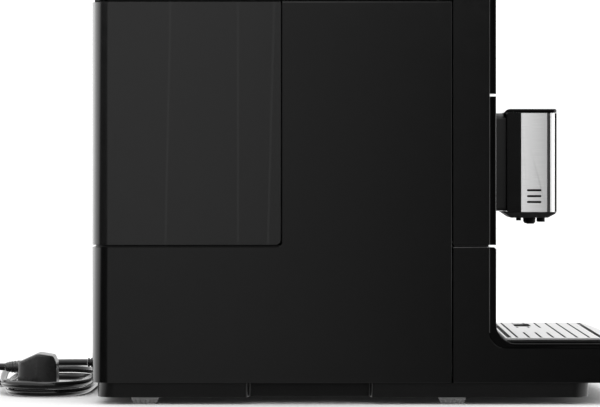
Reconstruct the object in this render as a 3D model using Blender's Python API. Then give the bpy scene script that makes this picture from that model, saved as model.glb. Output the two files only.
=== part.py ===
"""A free-standing bean to cup coffee machine, built from its separate pieces.

Metres, +Z up. The front faces -Y and the user's right hand side is +X. The origin lies on
the ground under the middle of the machine. Moving pieces hang on empties that stand on
their joint axes.
"""

import math

import bmesh
import bpy
from mathutils import Vector

for found in list(bpy.data.objects):
    bpy.data.objects.remove(found)

# Overall size
machine_width = 0.2510
machine_depth = 0.4270
machine_height = 0.3590

# Joints between panels, clearances and tools
panel_seam = 0.0012
tank_seam = 0.0018
fit_gap = 0.0003
sliding_gap = 0.0006
overrun = 0.0040
corner_steps = 6
round_share = 0.5

# Plinth and feet
foot_height = 0.0058
plinth_height = 0.0115
plinth_side_inset = 0.0030
plinth_rear_inset = 0.0040
plinth_front_inset = 0.0274
plinth_corner_radius = 0.0150
plinth_side_rib = 0.0345
plinth_end_rib = 0.0420
plinth_floor = 0.0030
grip_length = 0.0984
grip_to_rear = 0.1256
grip_depth = 0.0130
grip_edge_radius = 0.0030
foot_length = 0.0208
foot_side_inset = 0.0110
rear_foot_inset = 0.0320
front_foot_inset = 0.1270
foot_band_height = 0.0022
foot_tooth_depth = 0.0014
foot_teeth = 5

# Casing
casing_depth_share = 0.67728
casing_wall = 0.0025
rear_corner_radius = 0.0140
panel_return = 0.0120
tank_length_share = 0.35691
tank_width = 0.0800
lower_seam_height = 0.1271
top_height = 0.0358
window_radius = 0.0040

# Rear panel
vent_length = 0.0340
vent_height = 0.0030
vent_pitch_share = 0.0408
vent_rows = 12
vent_columns = 2
vent_column_pitch = 0.0440
vent_lift = 0.0529
vent_middle_x = 0.0250

# Chassis
chassis_wall = 0.0030
shelf_drop = 0.0068
partition_share = 0.3942
drawer_window_side_inset = 0.0165
drawer_window_drop = 0.0031
brew_window_width = 0.1060
brew_window_lift = 0.0039
brew_window_drop = 0.0172
bulkhead_setback = 0.0027

# Water tank, its bay and its lid
bay_wall = 0.0025
tank_wall = 0.0025
tank_floor = 0.0030
tank_valve_radius = 0.0070
tank_valve_length = 0.0030
tank_lid_hinge_radius = 0.0060
tank_lid_beam = 0.0130
tank_lid_pin_radius = 0.0015
ear_radius = 0.0042
ear_width = 0.0070
ear_inset = 0.0180
ear_root = 0.0120
lid_roof = 0.0030
top_edge_radius = 0.0030

# Top cover, cup rest and bean hopper
roof_thickness = 0.0050
cup_rest_side_inset = 0.0205
cup_rest_rear_inset = 0.0188
cup_rest_front_inset = 0.0180
cup_rest_thickness = 0.0016
cup_rest_grooves = 9
cup_rest_groove_width = 0.0030
cup_rest_groove_depth = 0.0008
cup_rest_margin = 0.0080
hopper_to_tank = 0.0155
hopper_length_share = 0.24356
hopper_side_inset = 0.0175
hopper_rear_inset = 0.0175
hopper_wall = 0.0020
hopper_flange = 0.0040
hopper_straight_share = 0.2501
hopper_outlet_radius = 0.0240
lid_pin_radius = 0.0010
lid_pin_reach = 0.0040
grip_scoop_width = 0.0300
knob_radius = 0.0125
knob_height = 0.0036
knob_ridge_width = 0.0040
knob_to_side = 0.0340
knob_to_hopper = 0.0200

# Grinder
motor_radius = 0.0290
motor_height_share = 0.3002
grinder_radius = 0.0420
grinder_height_share = 0.3202
grinder_shoulder_share = 0.1875
burr_chamber_radius = 0.0300
burr_chamber_floor_share = 0.2188
ring_burr_height_share = 0.2812
ring_burr_low_radius = 0.0205
ring_burr_top_radius = 0.0165
cone_burr_low_radius = 0.0180
cone_burr_top_radius = 0.0130
cone_burr_height_share = 0.3438
burr_teeth = 12
burr_tooth_depth = 0.0012
grinder_shaft_radius = 0.0040
shaft_clearance = 0.0005

# Brew unit
brew_frame_width = 0.1000
brew_frame_depth = 0.0680
brew_frame_headroom = 0.0207
brew_frame_wall = 0.0030
brew_frame_lift = 0.0054
brew_cylinder_radius = 0.0230
brew_bore_radius = 0.0190
brew_cylinder_height_share = 0.3529
brew_cylinder_base_share = 0.3853
brew_cylinder_floor = 0.0040
piston_head_height = 0.0120
piston_rod_radius = 0.0060
piston_travel_share = 0.1647
piston_arm_height = 0.0080
piston_nut_radius = 0.0080
spindle_x = 0.0360
spindle_radius = 0.0040
drive_gear_radius = 0.0105
drive_gear_tooth = 0.0016
drive_gear_teeth = 12
drive_gear_height = 0.0080

# Boiler, pump, hose and control board
boiler_radius = 0.0300
boiler_length_share = 0.5818
boiler_side_inset = 0.0655
boiler_flange = 0.0030
pump_radius = 0.0180
pump_length_share = 0.4913
pump_x = 0.0300
base_unit_gap = 0.0084
port_radius = 0.0045
port_length = 0.0060
hose_radius = 0.0032
hose_reach = 0.0400
board_thickness = 0.0016
board_headroom = 0.0074
board_length_share = 0.8719
board_side_inset = 0.0120
board_block = 0.0200

# Door
door_depth = 0.0290
door_wall = 0.0030
door_hinge_radius = 0.0060
door_post = 0.0130
fascia_thickness = 0.0051
fascia_groove = 0.0020
groove_share = 0.5209
fascia_edge = 0.0007
hinge_knuckle_radius = 0.0045
hinge_knuckle_height = 0.0120
hinge_pin_radius = 0.0020
hinge_pin_reach = 0.0080
hinge_plate_width = 0.0180
hinge_plate_height = 0.0260
hinge_plate_thickness = 0.0020
hinge_end_inset = 0.0480
lens_width = 0.1000
lens_height = 0.0320
lens_thickness = 0.0012
lens_to_top = 0.0390
lens_corner_radius = 0.0030
button_radius = 0.0060
button_side_inset = 0.0305
button_length = 0.0090
button_proud = 0.0008
button_flange = 0.0020

# Spout
spout_width = 0.0660
slider_width = 0.0500
slider_depth = 0.0143
slider_height_share = 0.6791
slider_base_share = 0.2197
slider_bevel = 0.0030
slider_bevel_drop = 0.0026
spout_body_depth = 0.0400
spout_corner_radius = 0.0040
cheek_length = 0.0217
cheek_thickness = 0.0014
cheek_setback = 0.0116
cheek_slot_length = 0.0120
cheek_slot_height = 0.0017
cheek_slot_pitch = 0.0049
cheek_slot_base = 0.0075
cheek_slots = 3
trim_length = 0.0041
trim_thickness = 0.0014
pane_thickness = 0.0012
spout_cap_height = 0.0032
spout_cap_slope = 0.0050
spout_cap_lap = 0.0028
chin_height = 0.0046
chin_taper = 0.0066
coffee_nozzle_radius = 0.0043
coffee_nozzle_bore = 0.0027
coffee_nozzle_length = 0.0050
coffee_nozzle_spread = 0.0110
coffee_nozzle_setback = 0.0207
milk_nozzle_radius = 0.0030
milk_nozzle_length = 0.0038
milk_nozzle_setback = 0.0110
water_nozzle_radius = 0.0021
water_nozzle_length = 0.0028
water_nozzle_setback = 0.0297
neck_width = 0.0240
neck_height_share = 0.2322
neck_base_share = 0.2562
keeper_margin = 0.0080
keeper_thickness = 0.0035
spout_travel_up_share = 0.3731
spout_travel_down_share = 0.0663

# Drawer, drip tray and plate
drawer_wall = 0.0030
drawer_floor = 0.0034
tray_rim_height = 0.0456
rim_thickness = 0.0034
tray_bow = 0.0085
tray_corner_radius = 0.0100
tray_bow_steps = 12
fascia_back_curve = 0.0132
fascia_front_curve = 0.0156
lower_fascia_bevel = 0.0016
pan_side_inset = 0.0215
pan_wall = 0.0020
pan_height = 0.0200
pan_to_partition = 0.0129
pan_rib_x = 0.0700
grounds_width = 0.1560
grounds_headroom = 0.0531
grounds_to_partition = 0.0209
grounds_wall = 0.0020
plate_side_inset = 0.0160
plate_front_inset = 0.0068
plate_thickness = 0.0016
plate_corner_radius = 0.0060
insert_flange = 0.0013
insert_flange_inset = 0.0012
insert_skirt_inset = 0.0040
insert_skirt_height = 0.0060
insert_wall = 0.0025
insert_bar_share = 1 / 3
front_slot_inset = 0.0075
slot_width = 0.0018
wide_slot_width = 0.0036
thin_slots = 7
slot_end_inset = 0.0070
first_slot_to_edge = 0.0036
wide_slot_to_thin = 0.0065
finger_hole_length = 0.0145
finger_hole_width_share = 0.1673
finger_hole_side_inset = 0.0185
finger_hole_radius = 0.0050
finger_hole_to_edge = 0.0259
bare_field_width_share = 0.2510
bare_field_length = 0.0250
bare_field_to_edge = 0.0299

# Mains lead
cord_diameter = 0.0060
exit_x = 0.0850
exit_height = 0.0188
relief_length = 0.0205
relief_root_radius = 0.0048
relief_tip_radius = 0.0037
relief_ribs = 4
coil_centre_x = 0.0400
coil_centre_y = 0.2605
coil_half_length = 0.0985
coil_half_width = 0.0425
coil_length_trim = 0.0030
coil_width_trim = 0.0040
coil_pitch = 0.0075
coil_layer = 0.0066
coil_floor_height = 0.00315
coil_start_degrees = 88.0
coil_sweep_degrees = 1054.0
coil_lift = 0.0068
coil_arrive_degrees = 48.0
coil_points_per_turn = 24
lead_step = 0.0060
lead_reach_share = 0.46
tail_bend = 0.0262
tail_lead_in_share = 0.15
tail_rise_share = 0.80

# Plug
plug_x = -0.0100
plug_y = 0.2677
plug_length = 0.0310
plug_depth = 0.0322
plug_height = 0.0340
plug_outline_shares = (-1.0, 0), (1.0, 0), (1.0, 0.774), (-0.04, 1.0), (-0.83, 0.936), (-1.0, 0.750)
plug_bulge = 0.0060
plug_neck_radius = 0.0054
plug_neck_height = 0.0220
plug_neck_length = 0.0115
plug_pin_radius = 0.0024
plug_pin_length = 0.0190
plug_pin_spacing = 0.0190
plug_pin_height = 0.0110

# Sizes that follow from the ones above
casing_depth = machine_depth * casing_depth_share
tank_length = machine_depth * tank_length_share
upper_seam_height = machine_height - top_height
vent_first_height = lower_seam_height + vent_lift
vent_pitch = (upper_seam_height - lower_seam_height) * vent_pitch_share
shelf_height = lower_seam_height - shelf_drop
partition_to_front = casing_depth * partition_share
drawer_window_top = lower_seam_height - drawer_window_drop
brew_window_bottom = lower_seam_height + brew_window_lift
brew_window_top = upper_seam_height - brew_window_drop
cup_rest_width = machine_width - 2 * cup_rest_side_inset
cup_rest_length = casing_depth - tank_length - cup_rest_front_inset - cup_rest_rear_inset
hopper_width = machine_width - tank_width - hopper_side_inset - hopper_to_tank
hopper_length = machine_depth * hopper_length_share
grinding_height = upper_seam_height - shelf_height - chassis_wall
hopper_straight_depth = grinding_height * hopper_straight_share
motor_height = grinding_height * motor_height_share
grinder_height = grinding_height * grinder_height_share
grinder_shoulder = grinder_height * grinder_shoulder_share
burr_chamber_floor = grinder_height * burr_chamber_floor_share
ring_burr_height = grinder_height * ring_burr_height_share
cone_burr_height = grinder_height * cone_burr_height_share
brew_frame_base = lower_seam_height + brew_frame_lift
brew_frame_height = upper_seam_height - brew_frame_base - brew_frame_headroom
brew_cylinder_base = brew_frame_base + brew_frame_height * brew_cylinder_base_share
brew_cylinder_height = brew_frame_height * brew_cylinder_height_share
piston_travel = brew_frame_height * piston_travel_share
groove_height = lower_seam_height + (machine_height - lower_seam_height) * groove_share
lens_centre_height = machine_height - lens_to_top
middle_height = groove_height - lower_seam_height
slider_base = lower_seam_height + middle_height * slider_base_share
slider_height = middle_height * slider_height_share
neck_base = lower_seam_height + middle_height * neck_base_share
neck_height = middle_height * neck_height_share
spout_travel_up = middle_height * spout_travel_up_share
spout_travel_down = middle_height * spout_travel_down_share
grounds_height = lower_seam_height - grounds_headroom
finger_hole_width = machine_width * finger_hole_width_share
bare_field_width = machine_width * bare_field_width_share

# Places that follow from the sizes above
left_x = -machine_width / 2
right_x = machine_width / 2
rear_y = machine_depth / 2
front_y = -machine_depth / 2
plinth_top = foot_height + plinth_height
body_bottom = plinth_top + fit_gap
front_seam_y = rear_y - casing_depth
casing_front_y = front_seam_y + panel_seam / 2
door_rear_y = front_seam_y - panel_seam / 2
door_front_y = door_rear_y - door_depth
fascia_rear_y = door_front_y - fit_gap
fascia_front_y = fascia_rear_y - fascia_thickness
tank_seam_y = rear_y - tank_length
tank_seam_x = left_x + tank_width
side_top = upper_seam_height - panel_seam / 2
cover_bottom = upper_seam_height + panel_seam / 2
lower_top = lower_seam_height - tank_seam / 2
tank_bottom = lower_seam_height + tank_seam / 2
inner_x = right_x - casing_wall - fit_gap
inner_rear_y = rear_y - casing_wall - fit_gap
base_top = body_bottom + fit_gap + chassis_wall
bulkhead_front_y = casing_front_y + bulkhead_setback
bulkhead_rear_y = bulkhead_front_y + chassis_wall
shelf_top = shelf_height + chassis_wall
partition_y = bulkhead_rear_y + partition_to_front
boiler_x = left_x + boiler_side_inset
base_unit_front_y = partition_y + chassis_wall + base_unit_gap
base_unit_room = inner_rear_y - base_unit_front_y
boiler_length = base_unit_room * boiler_length_share
pump_length = base_unit_room * pump_length_share
tank_lid_axis = Vector((tank_seam_x - tank_width / 2, rear_y - tank_lid_hinge_radius,
                        cover_bottom + tank_lid_hinge_radius))
hopper_x = right_x - hopper_side_inset - hopper_width / 2
hopper_y = rear_y - hopper_rear_inset - hopper_length / 2
hopper_axis = Vector((hopper_x, hopper_y + hopper_length / 2 - sliding_gap - roof_thickness / 2,
                      machine_height - roof_thickness / 2))
door_axis = Vector((right_x - door_hinge_radius, door_rear_y - door_hinge_radius, tank_bottom))
grinder_axis = Vector((hopper_x, hopper_y, shelf_top + fit_gap))
spindle_y = bulkhead_rear_y + brew_frame_depth / 2
spindle_axis = Vector((spindle_x, spindle_y, brew_frame_base + brew_frame_wall))
knob_axis = Vector((right_x - knob_to_side, hopper_y - hopper_length / 2 - knob_to_hopper,
                    machine_height - knob_height))
button_axis = Vector((left_x + button_side_inset, fascia_front_y, lens_centre_height))
slider_front_y = fascia_front_y - sliding_gap - slider_depth
spout_rear_y = slider_front_y - fit_gap
spout_front_y = spout_rear_y - spout_body_depth
spout_base_z = slider_base - chin_height / 4
spout_top_z = slider_base + slider_height
drawer_rear_y = door_rear_y
tray_side_front_y = front_y + tray_bow
plate_rear_y = fascia_front_y - fascia_front_curve
pan_bottom = body_bottom + drawer_floor + fit_gap


# Materials

def finish(name, colour, roughness, metallic=0.0, alpha=1.0):
    """A Principled material, made once for each name."""
    material = bpy.data.materials.get(name)
    if material is None:
        material = bpy.data.materials.new(name)
        material.use_nodes = True
        shader = material.node_tree.nodes["Principled BSDF"]
        shader.inputs["Base Color"].default_value = (*colour, 1.0)
        shader.inputs["Roughness"].default_value = roughness
        shader.inputs["Metallic"].default_value = metallic
        shader.inputs["Alpha"].default_value = alpha
    return material


# Shapes are pairs of a point list and a face list

def to_space(axis, u, v, w):
    """A point from two outline coordinates and the height along the axis."""
    if axis == "X":
        return Vector((w, u, v))
    if axis == "Y":
        return Vector((u, w, v))
    return Vector((u, v, w))


def loft(rings, closed=False):
    """A skin over rings of equal count, capped at both ends or closed into a loop."""
    count = len(rings[0])
    points = [point for ring in rings for point in ring]
    faces = []
    spans = len(rings) if closed else len(rings) - 1
    for level in range(spans):
        low = level * count
        high = (level + 1) % len(rings) * count
        for i in range(count):
            j = (i + 1) % count
            faces.append((low + i, low + j, high + j, high + i))
    if not closed:
        faces.append(tuple(range(count)))
        faces.append(tuple(range((len(rings) - 1) * count, len(rings) * count)))
    return points, faces


def prism(outline, axis, low, high):
    """An outline extruded along an axis between two places."""
    return loft([[to_space(axis, u, v, w) for u, v in outline] for w in (low, high)])


def box(low, high):
    """A box between two corners."""
    outline = [(low[0], low[1]), (high[0], low[1]), (high[0], high[1]), (low[0], high[1])]
    return prism(outline, "Z", low[2], high[2])


def turned(profile, centre, axis="Z", steps=32, closed=False):
    """A profile of (radius, height) turned round an axis through the centre."""
    points = []
    rings = []
    for radius, height in profile:
        if radius == 0:
            rings.append([len(points)])
            points.append(centre + to_space(axis, 0, 0, height))
            continue
        rings.append(list(range(len(points), len(points) + steps)))
        for i in range(steps):
            turn = math.tau * i / steps
            points.append(centre + to_space(axis, radius * math.cos(turn), radius * math.sin(turn),
                                            height))
    faces = []
    pairs = list(zip(rings, rings[1:]))
    if closed:
        pairs.append((rings[-1], rings[0]))
    for low, high in pairs:
        for i in range(steps):
            j = (i + 1) % steps
            if len(low) == 1:
                faces.append((low[0], high[j], high[i]))
            elif len(high) == 1:
                faces.append((low[i], low[j], high[0]))
            else:
                faces.append((low[i], low[j], high[j], high[i]))
    if not closed:
        for ring in (rings[0], rings[-1]):
            if len(ring) > 1:
                faces.append(tuple(ring))
    return points, faces


def rod(radius, start, length, axis="Z", steps=16):
    """A plain round bar from a point on its axis."""
    return turned([(radius, 0), (radius, length)], start, axis, steps)


def rounded(corners, steps=corner_steps):
    """An outline from corners (u, v, radius), with an arc at each corner that has a radius."""
    outline = []
    count = len(corners)
    for i, (u, v, radius) in enumerate(corners):
        here = Vector((u, v))
        before = Vector(corners[i - 1][:2]) - here
        after = Vector(corners[(i + 1) % count][:2]) - here
        if radius == 0:
            outline.append((u, v))
            continue
        before.normalize()
        after.normalize()
        half = before.angle(after) / 2
        centre = here + (before + after).normalized() * (radius / math.sin(half))
        reach = radius / math.tan(half)
        start = here + before * reach - centre
        end = here + after * reach - centre
        turn = start.angle_signed(end)
        for step in range(steps + 1):
            angle = -turn * step / steps
            cosine = math.cos(angle)
            sine = math.sin(angle)
            outline.append((centre.x + start.x * cosine - start.y * sine,
                            centre.y + start.x * sine + start.y * cosine))
    return outline


def rectangle(low_u, low_v, high_u, high_v, radius=0.0, steps=corner_steps):
    """A rectangular outline with its four corners rounded alike."""
    return rounded([(low_u, low_v, radius), (high_u, low_v, radius),
                    (high_u, high_v, radius), (low_u, high_v, radius)], steps)


def together(*shapes):
    """Several shapes that don't touch, as one list of points and faces."""
    points = []
    faces = []
    for shape_points, shape_faces in shapes:
        start = len(points)
        points += shape_points
        faces += [tuple(start + i for i in face) for face in shape_faces]
    return points, faces


def piece(name, shape, material, carrier=None):
    """One named sub-part. Its origin is its carrier's, or the machine's."""
    origin = carrier.location if carrier else Vector((0, 0, 0))
    mesh = bpy.data.meshes.new(name)
    mesh.from_pydata([point - origin for point in shape[0]], [], shape[1])
    work = bmesh.new()
    work.from_mesh(mesh)
    bmesh.ops.recalc_face_normals(work, faces=work.faces)
    work.to_mesh(mesh)
    work.free()
    part = bpy.data.objects.new(name, mesh)
    bpy.context.scene.collection.objects.link(part)
    if carrier:
        part.parent = carrier
    if material:
        mesh.materials.append(material)
    return part


def change(part, shape, operation):
    """A Boolean on the part with a hidden tool shape."""
    tool = piece(f"{part.name}_tool_{len(part.modifiers)}", shape, None)
    tool.hide_render = True
    tool.display_type = "WIRE"
    modifier = part.modifiers.new("shape", "BOOLEAN")
    modifier.operation = operation
    modifier.solver = "EXACT"
    modifier.object = tool
    return part


def cut(part, *shapes):
    """Takes shapes that don't touch each other away from the part."""
    return change(part, together(*shapes), "DIFFERENCE")


def add(part, *shapes):
    """Joins shapes to the part."""
    return change(part, together(*shapes), "UNION")


def keep(part, shape):
    """Keeps only what lies inside the shape."""
    return change(part, shape, "INTERSECT")


def round_edges(part, radius, picked, steps=3):
    """Rounds the edges of a part's own mesh whose middle point passes the test."""
    work = bmesh.new()
    work.from_mesh(part.data)
    origin = part.parent.location if part.parent else Vector((0, 0, 0))
    edges = [edge for edge in work.edges
             if picked((edge.verts[0].co + edge.verts[1].co) / 2 + origin,
                       (edge.verts[1].co - edge.verts[0].co))]
    bmesh.ops.bevel(work, geom=edges, offset=radius, segments=steps, profile=round_share,
                    affect="EDGES")
    work.to_mesh(part.data)
    work.free()
    return part


def carrier(name, place):
    """An empty on a joint's axis, for the pieces that move with it."""
    empty = bpy.data.objects.new(name, None)
    empty.location = place
    empty.empty_display_size = machine_width / 8
    bpy.context.scene.collection.objects.link(empty)
    return empty


def tube(name, points, radius, material, resolution):
    """A round cord along points, with closed ends."""
    curve = bpy.data.curves.new(name, "CURVE")
    curve.dimensions = "3D"
    curve.bevel_depth = radius
    curve.bevel_resolution = resolution
    curve.use_fill_caps = True
    line = curve.splines.new("POLY")
    line.points.add(len(points) - 1)
    for point, place in zip(line.points, points):
        point.co = (*place, 1.0)
    part = bpy.data.objects.new(name, curve)
    bpy.context.scene.collection.objects.link(part)
    curve.materials.append(material)
    return part


# Outlines that several pieces share

def casing_outline(inset):
    """The plan of the casing behind the front joint, with its rear corners rounded."""
    side = right_x - inset
    back = rear_y - inset
    radius = rear_corner_radius - inset
    return rounded([(-side, casing_front_y, 0), (side, casing_front_y, 0),
                    (side, back, radius), (-side, back, radius)])


def bowed_outline(side_inset, front_inset, radius, rear):
    """A plan with straight sides, a straight rear and the tray's gently bowed front."""
    half = right_x - side_inset

    def bow(x):
        return tray_side_front_y + front_inset - tray_bow * (1 - (x / right_x) ** 2)

    corners = [(half, rear, 0), (-half, rear, 0), (-half, bow(half), radius)]
    for step in range(1, tray_bow_steps):
        x = half * (2 * step / tray_bow_steps - 1)
        corners.append((x, bow(x), 0))
    corners.append((half, bow(half), radius))
    return rounded(corners)


def tray_outline(inset, rear):
    """The plan of the drip tray."""
    return bowed_outline(inset, inset, tray_corner_radius, rear)


def field_outline(inset, rear):
    """The plan of the drip plate and of what lies under it."""
    return bowed_outline(plate_side_inset + inset, plate_front_inset + inset,
                         plate_corner_radius, rear)


# Plinth and feet

def make_plinth():
    half = right_x - plinth_side_inset
    back = rear_y - plinth_rear_inset
    front = front_y + plinth_front_inset
    grip_rear = rear_y - grip_to_rear
    grip_front = grip_rear - grip_length
    edge = grip_edge_radius
    notch = half - grip_depth
    outline = rounded([
        (-half, front, plinth_corner_radius), (half, front, plinth_corner_radius),
        (half, grip_front, edge), (notch, grip_front, edge),
        (notch, grip_rear, edge), (half, grip_rear, edge),
        (half, back, plinth_corner_radius), (-half, back, plinth_corner_radius),
        (-half, grip_rear, edge), (-notch, grip_rear, edge),
        (-notch, grip_front, edge), (-half, grip_front, edge)])
    plinth = piece("base_plinth", prism(outline, "Z", foot_height, plinth_top),
                   finish("plinth_plastic", (0.020, 0.020, 0.020), 0.45))
    hollow = half - plinth_side_rib
    cut(plinth, box((-hollow, front + plinth_end_rib, foot_height - overrun),
                    (hollow, back - plinth_end_rib, plinth_top - plinth_floor)))
    return plinth


def foot_ring(centre, height, half, depth):
    """The four-sided outline of a foot at one height, with teeth of the given depth."""
    ring = []
    for side in range(4):
        turn = math.pi / 2 * side
        for step in range(2 * foot_teeth):
            along = -half + 2 * half * step / (2 * foot_teeth)
            out = half - (depth if step % 2 else 0)
            ring.append(centre + Vector((along * math.cos(turn) + out * math.sin(turn),
                                         along * math.sin(turn) - out * math.cos(turn), height)))
    return ring


def make_feet():
    rubber = finish("foot_rubber", (0.13, 0.13, 0.13), 0.80)
    half = foot_length / 2
    side = right_x - foot_side_inset - half
    top = foot_height - fit_gap
    rows = {"rear": rear_y - rear_foot_inset - half, "front": front_y + front_foot_inset + half}
    for row, y in rows.items():
        for hand, x in (("left", -side), ("right", side)):
            centre = Vector((x, y, 0))
            band = top - foot_band_height
            rings = [foot_ring(centre, 0, half - foot_tooth_depth, foot_tooth_depth),
                     foot_ring(centre, band, half, foot_tooth_depth),
                     foot_ring(centre, band, half + foot_tooth_depth / 4, 0),
                     foot_ring(centre, top, half + foot_tooth_depth / 4, 0)]
            piece(f"foot_{row}_{hand}", loft(rings), rubber)


# Casing

def wrapped_side(sign):
    """The plan of a side panel that wraps round the rear corner; sign is the side of X."""
    outer = right_x
    inner = outer - casing_wall
    back = rear_y
    end = outer - rear_corner_radius - panel_return
    corners = [(outer, casing_front_y, 0), (outer, back, rear_corner_radius), (end, back, 0),
               (end, back - casing_wall, 0), (inner, back - casing_wall,
                                              rear_corner_radius - casing_wall),
               (inner, casing_front_y, 0)]
    return rounded([(sign * x, y, radius) for x, y, radius in corners])


def make_side_panels():
    paint = finish("casing_black", (0.030, 0.030, 0.031), 0.38)
    piece("side_panel_right", prism(wrapped_side(1), "Z", body_bottom, side_top), paint)
    left = piece("side_panel_left", prism(wrapped_side(-1), "Z", body_bottom, side_top), paint)
    window = rounded([(tank_seam_y - panel_seam / 2, lower_top, window_radius),
                      (rear_y + overrun, lower_top, 0), (rear_y + overrun, side_top + overrun, 0),
                      (tank_seam_y - panel_seam / 2, side_top + overrun, 0)])
    cut(left, prism(window, "X", left_x - overrun, 0))


def lead_notch(reach_y):
    """The tool for the notch that the strain relief sits in."""
    radius = relief_root_radius + fit_gap
    outline = [(exit_x - radius, body_bottom - overrun)]
    outline += [(exit_x + radius, body_bottom - overrun)]
    outline += [(exit_x + radius * math.cos(math.pi * i / 8),
                 exit_height + radius * math.sin(math.pi * i / 8)) for i in range(9)]
    return prism(outline, "Y", reach_y, rear_y + overrun)


def make_rear_panel():
    side = right_x - rear_corner_radius - panel_return - panel_seam
    inner = tank_seam_x + panel_seam / 2
    outline = [(-side, body_bottom), (side, body_bottom), (side, side_top), (inner, side_top),
               (inner, lower_top), (-side, lower_top)]
    panel = piece("rear_panel", prism(outline, "Y", rear_y - casing_wall, rear_y),
                  finish("rear_black", (0.024, 0.024, 0.025), 0.5))
    vents = []
    for column in range(vent_columns):
        x = vent_middle_x + (column - (vent_columns - 1) / 2) * vent_column_pitch
        for row in range(vent_rows):
            z = vent_first_height + row * vent_pitch
            vents.append(box((x - vent_length / 2, rear_y - casing_wall - overrun, z),
                             (x + vent_length / 2, rear_y + overrun, z + vent_height)))
    cut(panel, *vents)
    cut(panel, lead_notch(rear_y - casing_wall - overrun))


def make_chassis():
    partition = partition_y
    low = base_top - chassis_wall
    outline = [(bulkhead_front_y, low), (inner_rear_y, low), (inner_rear_y, base_top),
               (partition + chassis_wall, base_top), (partition + chassis_wall, shelf_height),
               (inner_rear_y, shelf_height), (inner_rear_y, shelf_top), (partition, shelf_top),
               (partition, base_top), (bulkhead_rear_y, base_top), (bulkhead_rear_y, side_top),
               (bulkhead_front_y, side_top)]
    chassis = piece("chassis_frame", prism(outline, "X", -inner_x, inner_x),
                    finish("chassis_grey", (0.10, 0.10, 0.10), 0.6))
    keep(chassis, prism(casing_outline(casing_wall + fit_gap), "Z", 0, machine_height))
    half = right_x - drawer_window_side_inset
    cut(chassis, box((-half, bulkhead_front_y - overrun, base_top),
                     (half, bulkhead_rear_y + overrun, drawer_window_top)))
    half = brew_window_width / 2
    cut(chassis, box((-half, bulkhead_front_y - overrun, brew_window_bottom),
                     (half, bulkhead_rear_y + overrun, brew_window_top)))
    cut(chassis, lead_notch(inner_rear_y - overrun))


# Water tank, bay and lid

def tank_outline(inset):
    """The plan of the tank, with the machine's rear corner rounded."""
    return rounded([(left_x + inset, tank_seam_y + panel_seam / 2 + inset, 0),
                    (tank_seam_x - panel_seam / 2 - inset, tank_seam_y + panel_seam / 2 + inset, 0),
                    (tank_seam_x - panel_seam / 2 - inset, rear_y - inset, 0),
                    (left_x + inset, rear_y - inset, rear_corner_radius - inset)])


def valve_place():
    return Vector((tank_lid_axis.x, tank_seam_y + tank_length / 2, 0))


def make_tank_bay():
    outer_x = tank_seam_x + bay_wall
    front = tank_seam_y - bay_wall
    bay = piece("tank_bay", box((-inner_x, front, shelf_top + fit_gap),
                                (outer_x, inner_rear_y, side_top - sliding_gap)),
                finish("chassis_grey", (0.10, 0.10, 0.10), 0.6))
    floor = tank_bottom - fit_gap
    cut(bay, box((-right_x - overrun, tank_seam_y, floor),
                 (tank_seam_x, rear_y + overrun, machine_height)))
    keep(bay, prism(casing_outline(casing_wall + fit_gap), "Z", 0, machine_height))
    well = valve_place() + Vector((0, 0, floor - tank_valve_length - fit_gap))
    cut(bay, rod(tank_valve_radius + sliding_gap, well, tank_valve_length + overrun))


def lid_corner_tool(radius, axis_y, axis_z, low_x, high_x):
    """The tool that rounds the lower rear edge of a lid about its hinge axis."""
    outline = [(axis_y + radius * math.sin(math.pi / 2 * i / 8),
                axis_z - radius * math.cos(math.pi / 2 * i / 8)) for i in range(9)]
    outline += [(axis_y + radius + overrun, axis_z), (axis_y + radius + overrun,
                                                      axis_z - radius - overrun),
                (axis_y, axis_z - radius - overrun)]
    return prism(outline, "X", low_x - overrun, high_x + overrun)


def ear_places():
    """The middles of the two hinge ears along X."""
    half = (tank_width - panel_seam) / 2 - ear_inset
    return [tank_lid_axis.x - half, tank_lid_axis.x + half]


def make_tank(tank_carrier):
    smoked = finish("tank_smoked", (0.045, 0.045, 0.046), 0.25)
    tank = piece("water_tank", prism(tank_outline(0), "Z", tank_bottom, side_top), smoked,
                 tank_carrier)
    front = tank_seam_y + panel_seam / 2
    round_edges(tank, window_radius,
                lambda middle, along: abs(middle.z - tank_bottom) < fit_gap
                and abs(middle.y - front) < fit_gap)
    cut(tank, prism(tank_outline(tank_wall), "Z", tank_bottom + tank_floor, side_top + overrun))
    axis = tank_lid_axis
    ears = []
    for x in ear_places():
        outline = [(axis.y + ear_radius * math.cos(math.pi * i / 8),
                    axis.z + ear_radius * math.sin(math.pi * i / 8)) for i in range(9)]
        outline += [(axis.y - ear_radius, side_top - ear_root), (rear_y - tank_wall / 2,
                                                                 side_top - 2 * ear_root),
                    (rear_y - tank_wall / 2, side_top - tank_wall),
                    (axis.y + ear_radius, side_top - tank_wall)]
        ears.append(prism(outline, "X", x - ear_width / 2, x + ear_width / 2))
    add(tank, *ears)
    cut(tank, rod(tank_lid_pin_radius + fit_gap, Vector((left_x, axis.y, axis.z)), tank_width, "X", 12))
    foot = valve_place() + Vector((0, 0, tank_bottom - tank_valve_length))
    add(tank, rod(tank_valve_radius, foot, tank_valve_length + tank_floor / 2))


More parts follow.
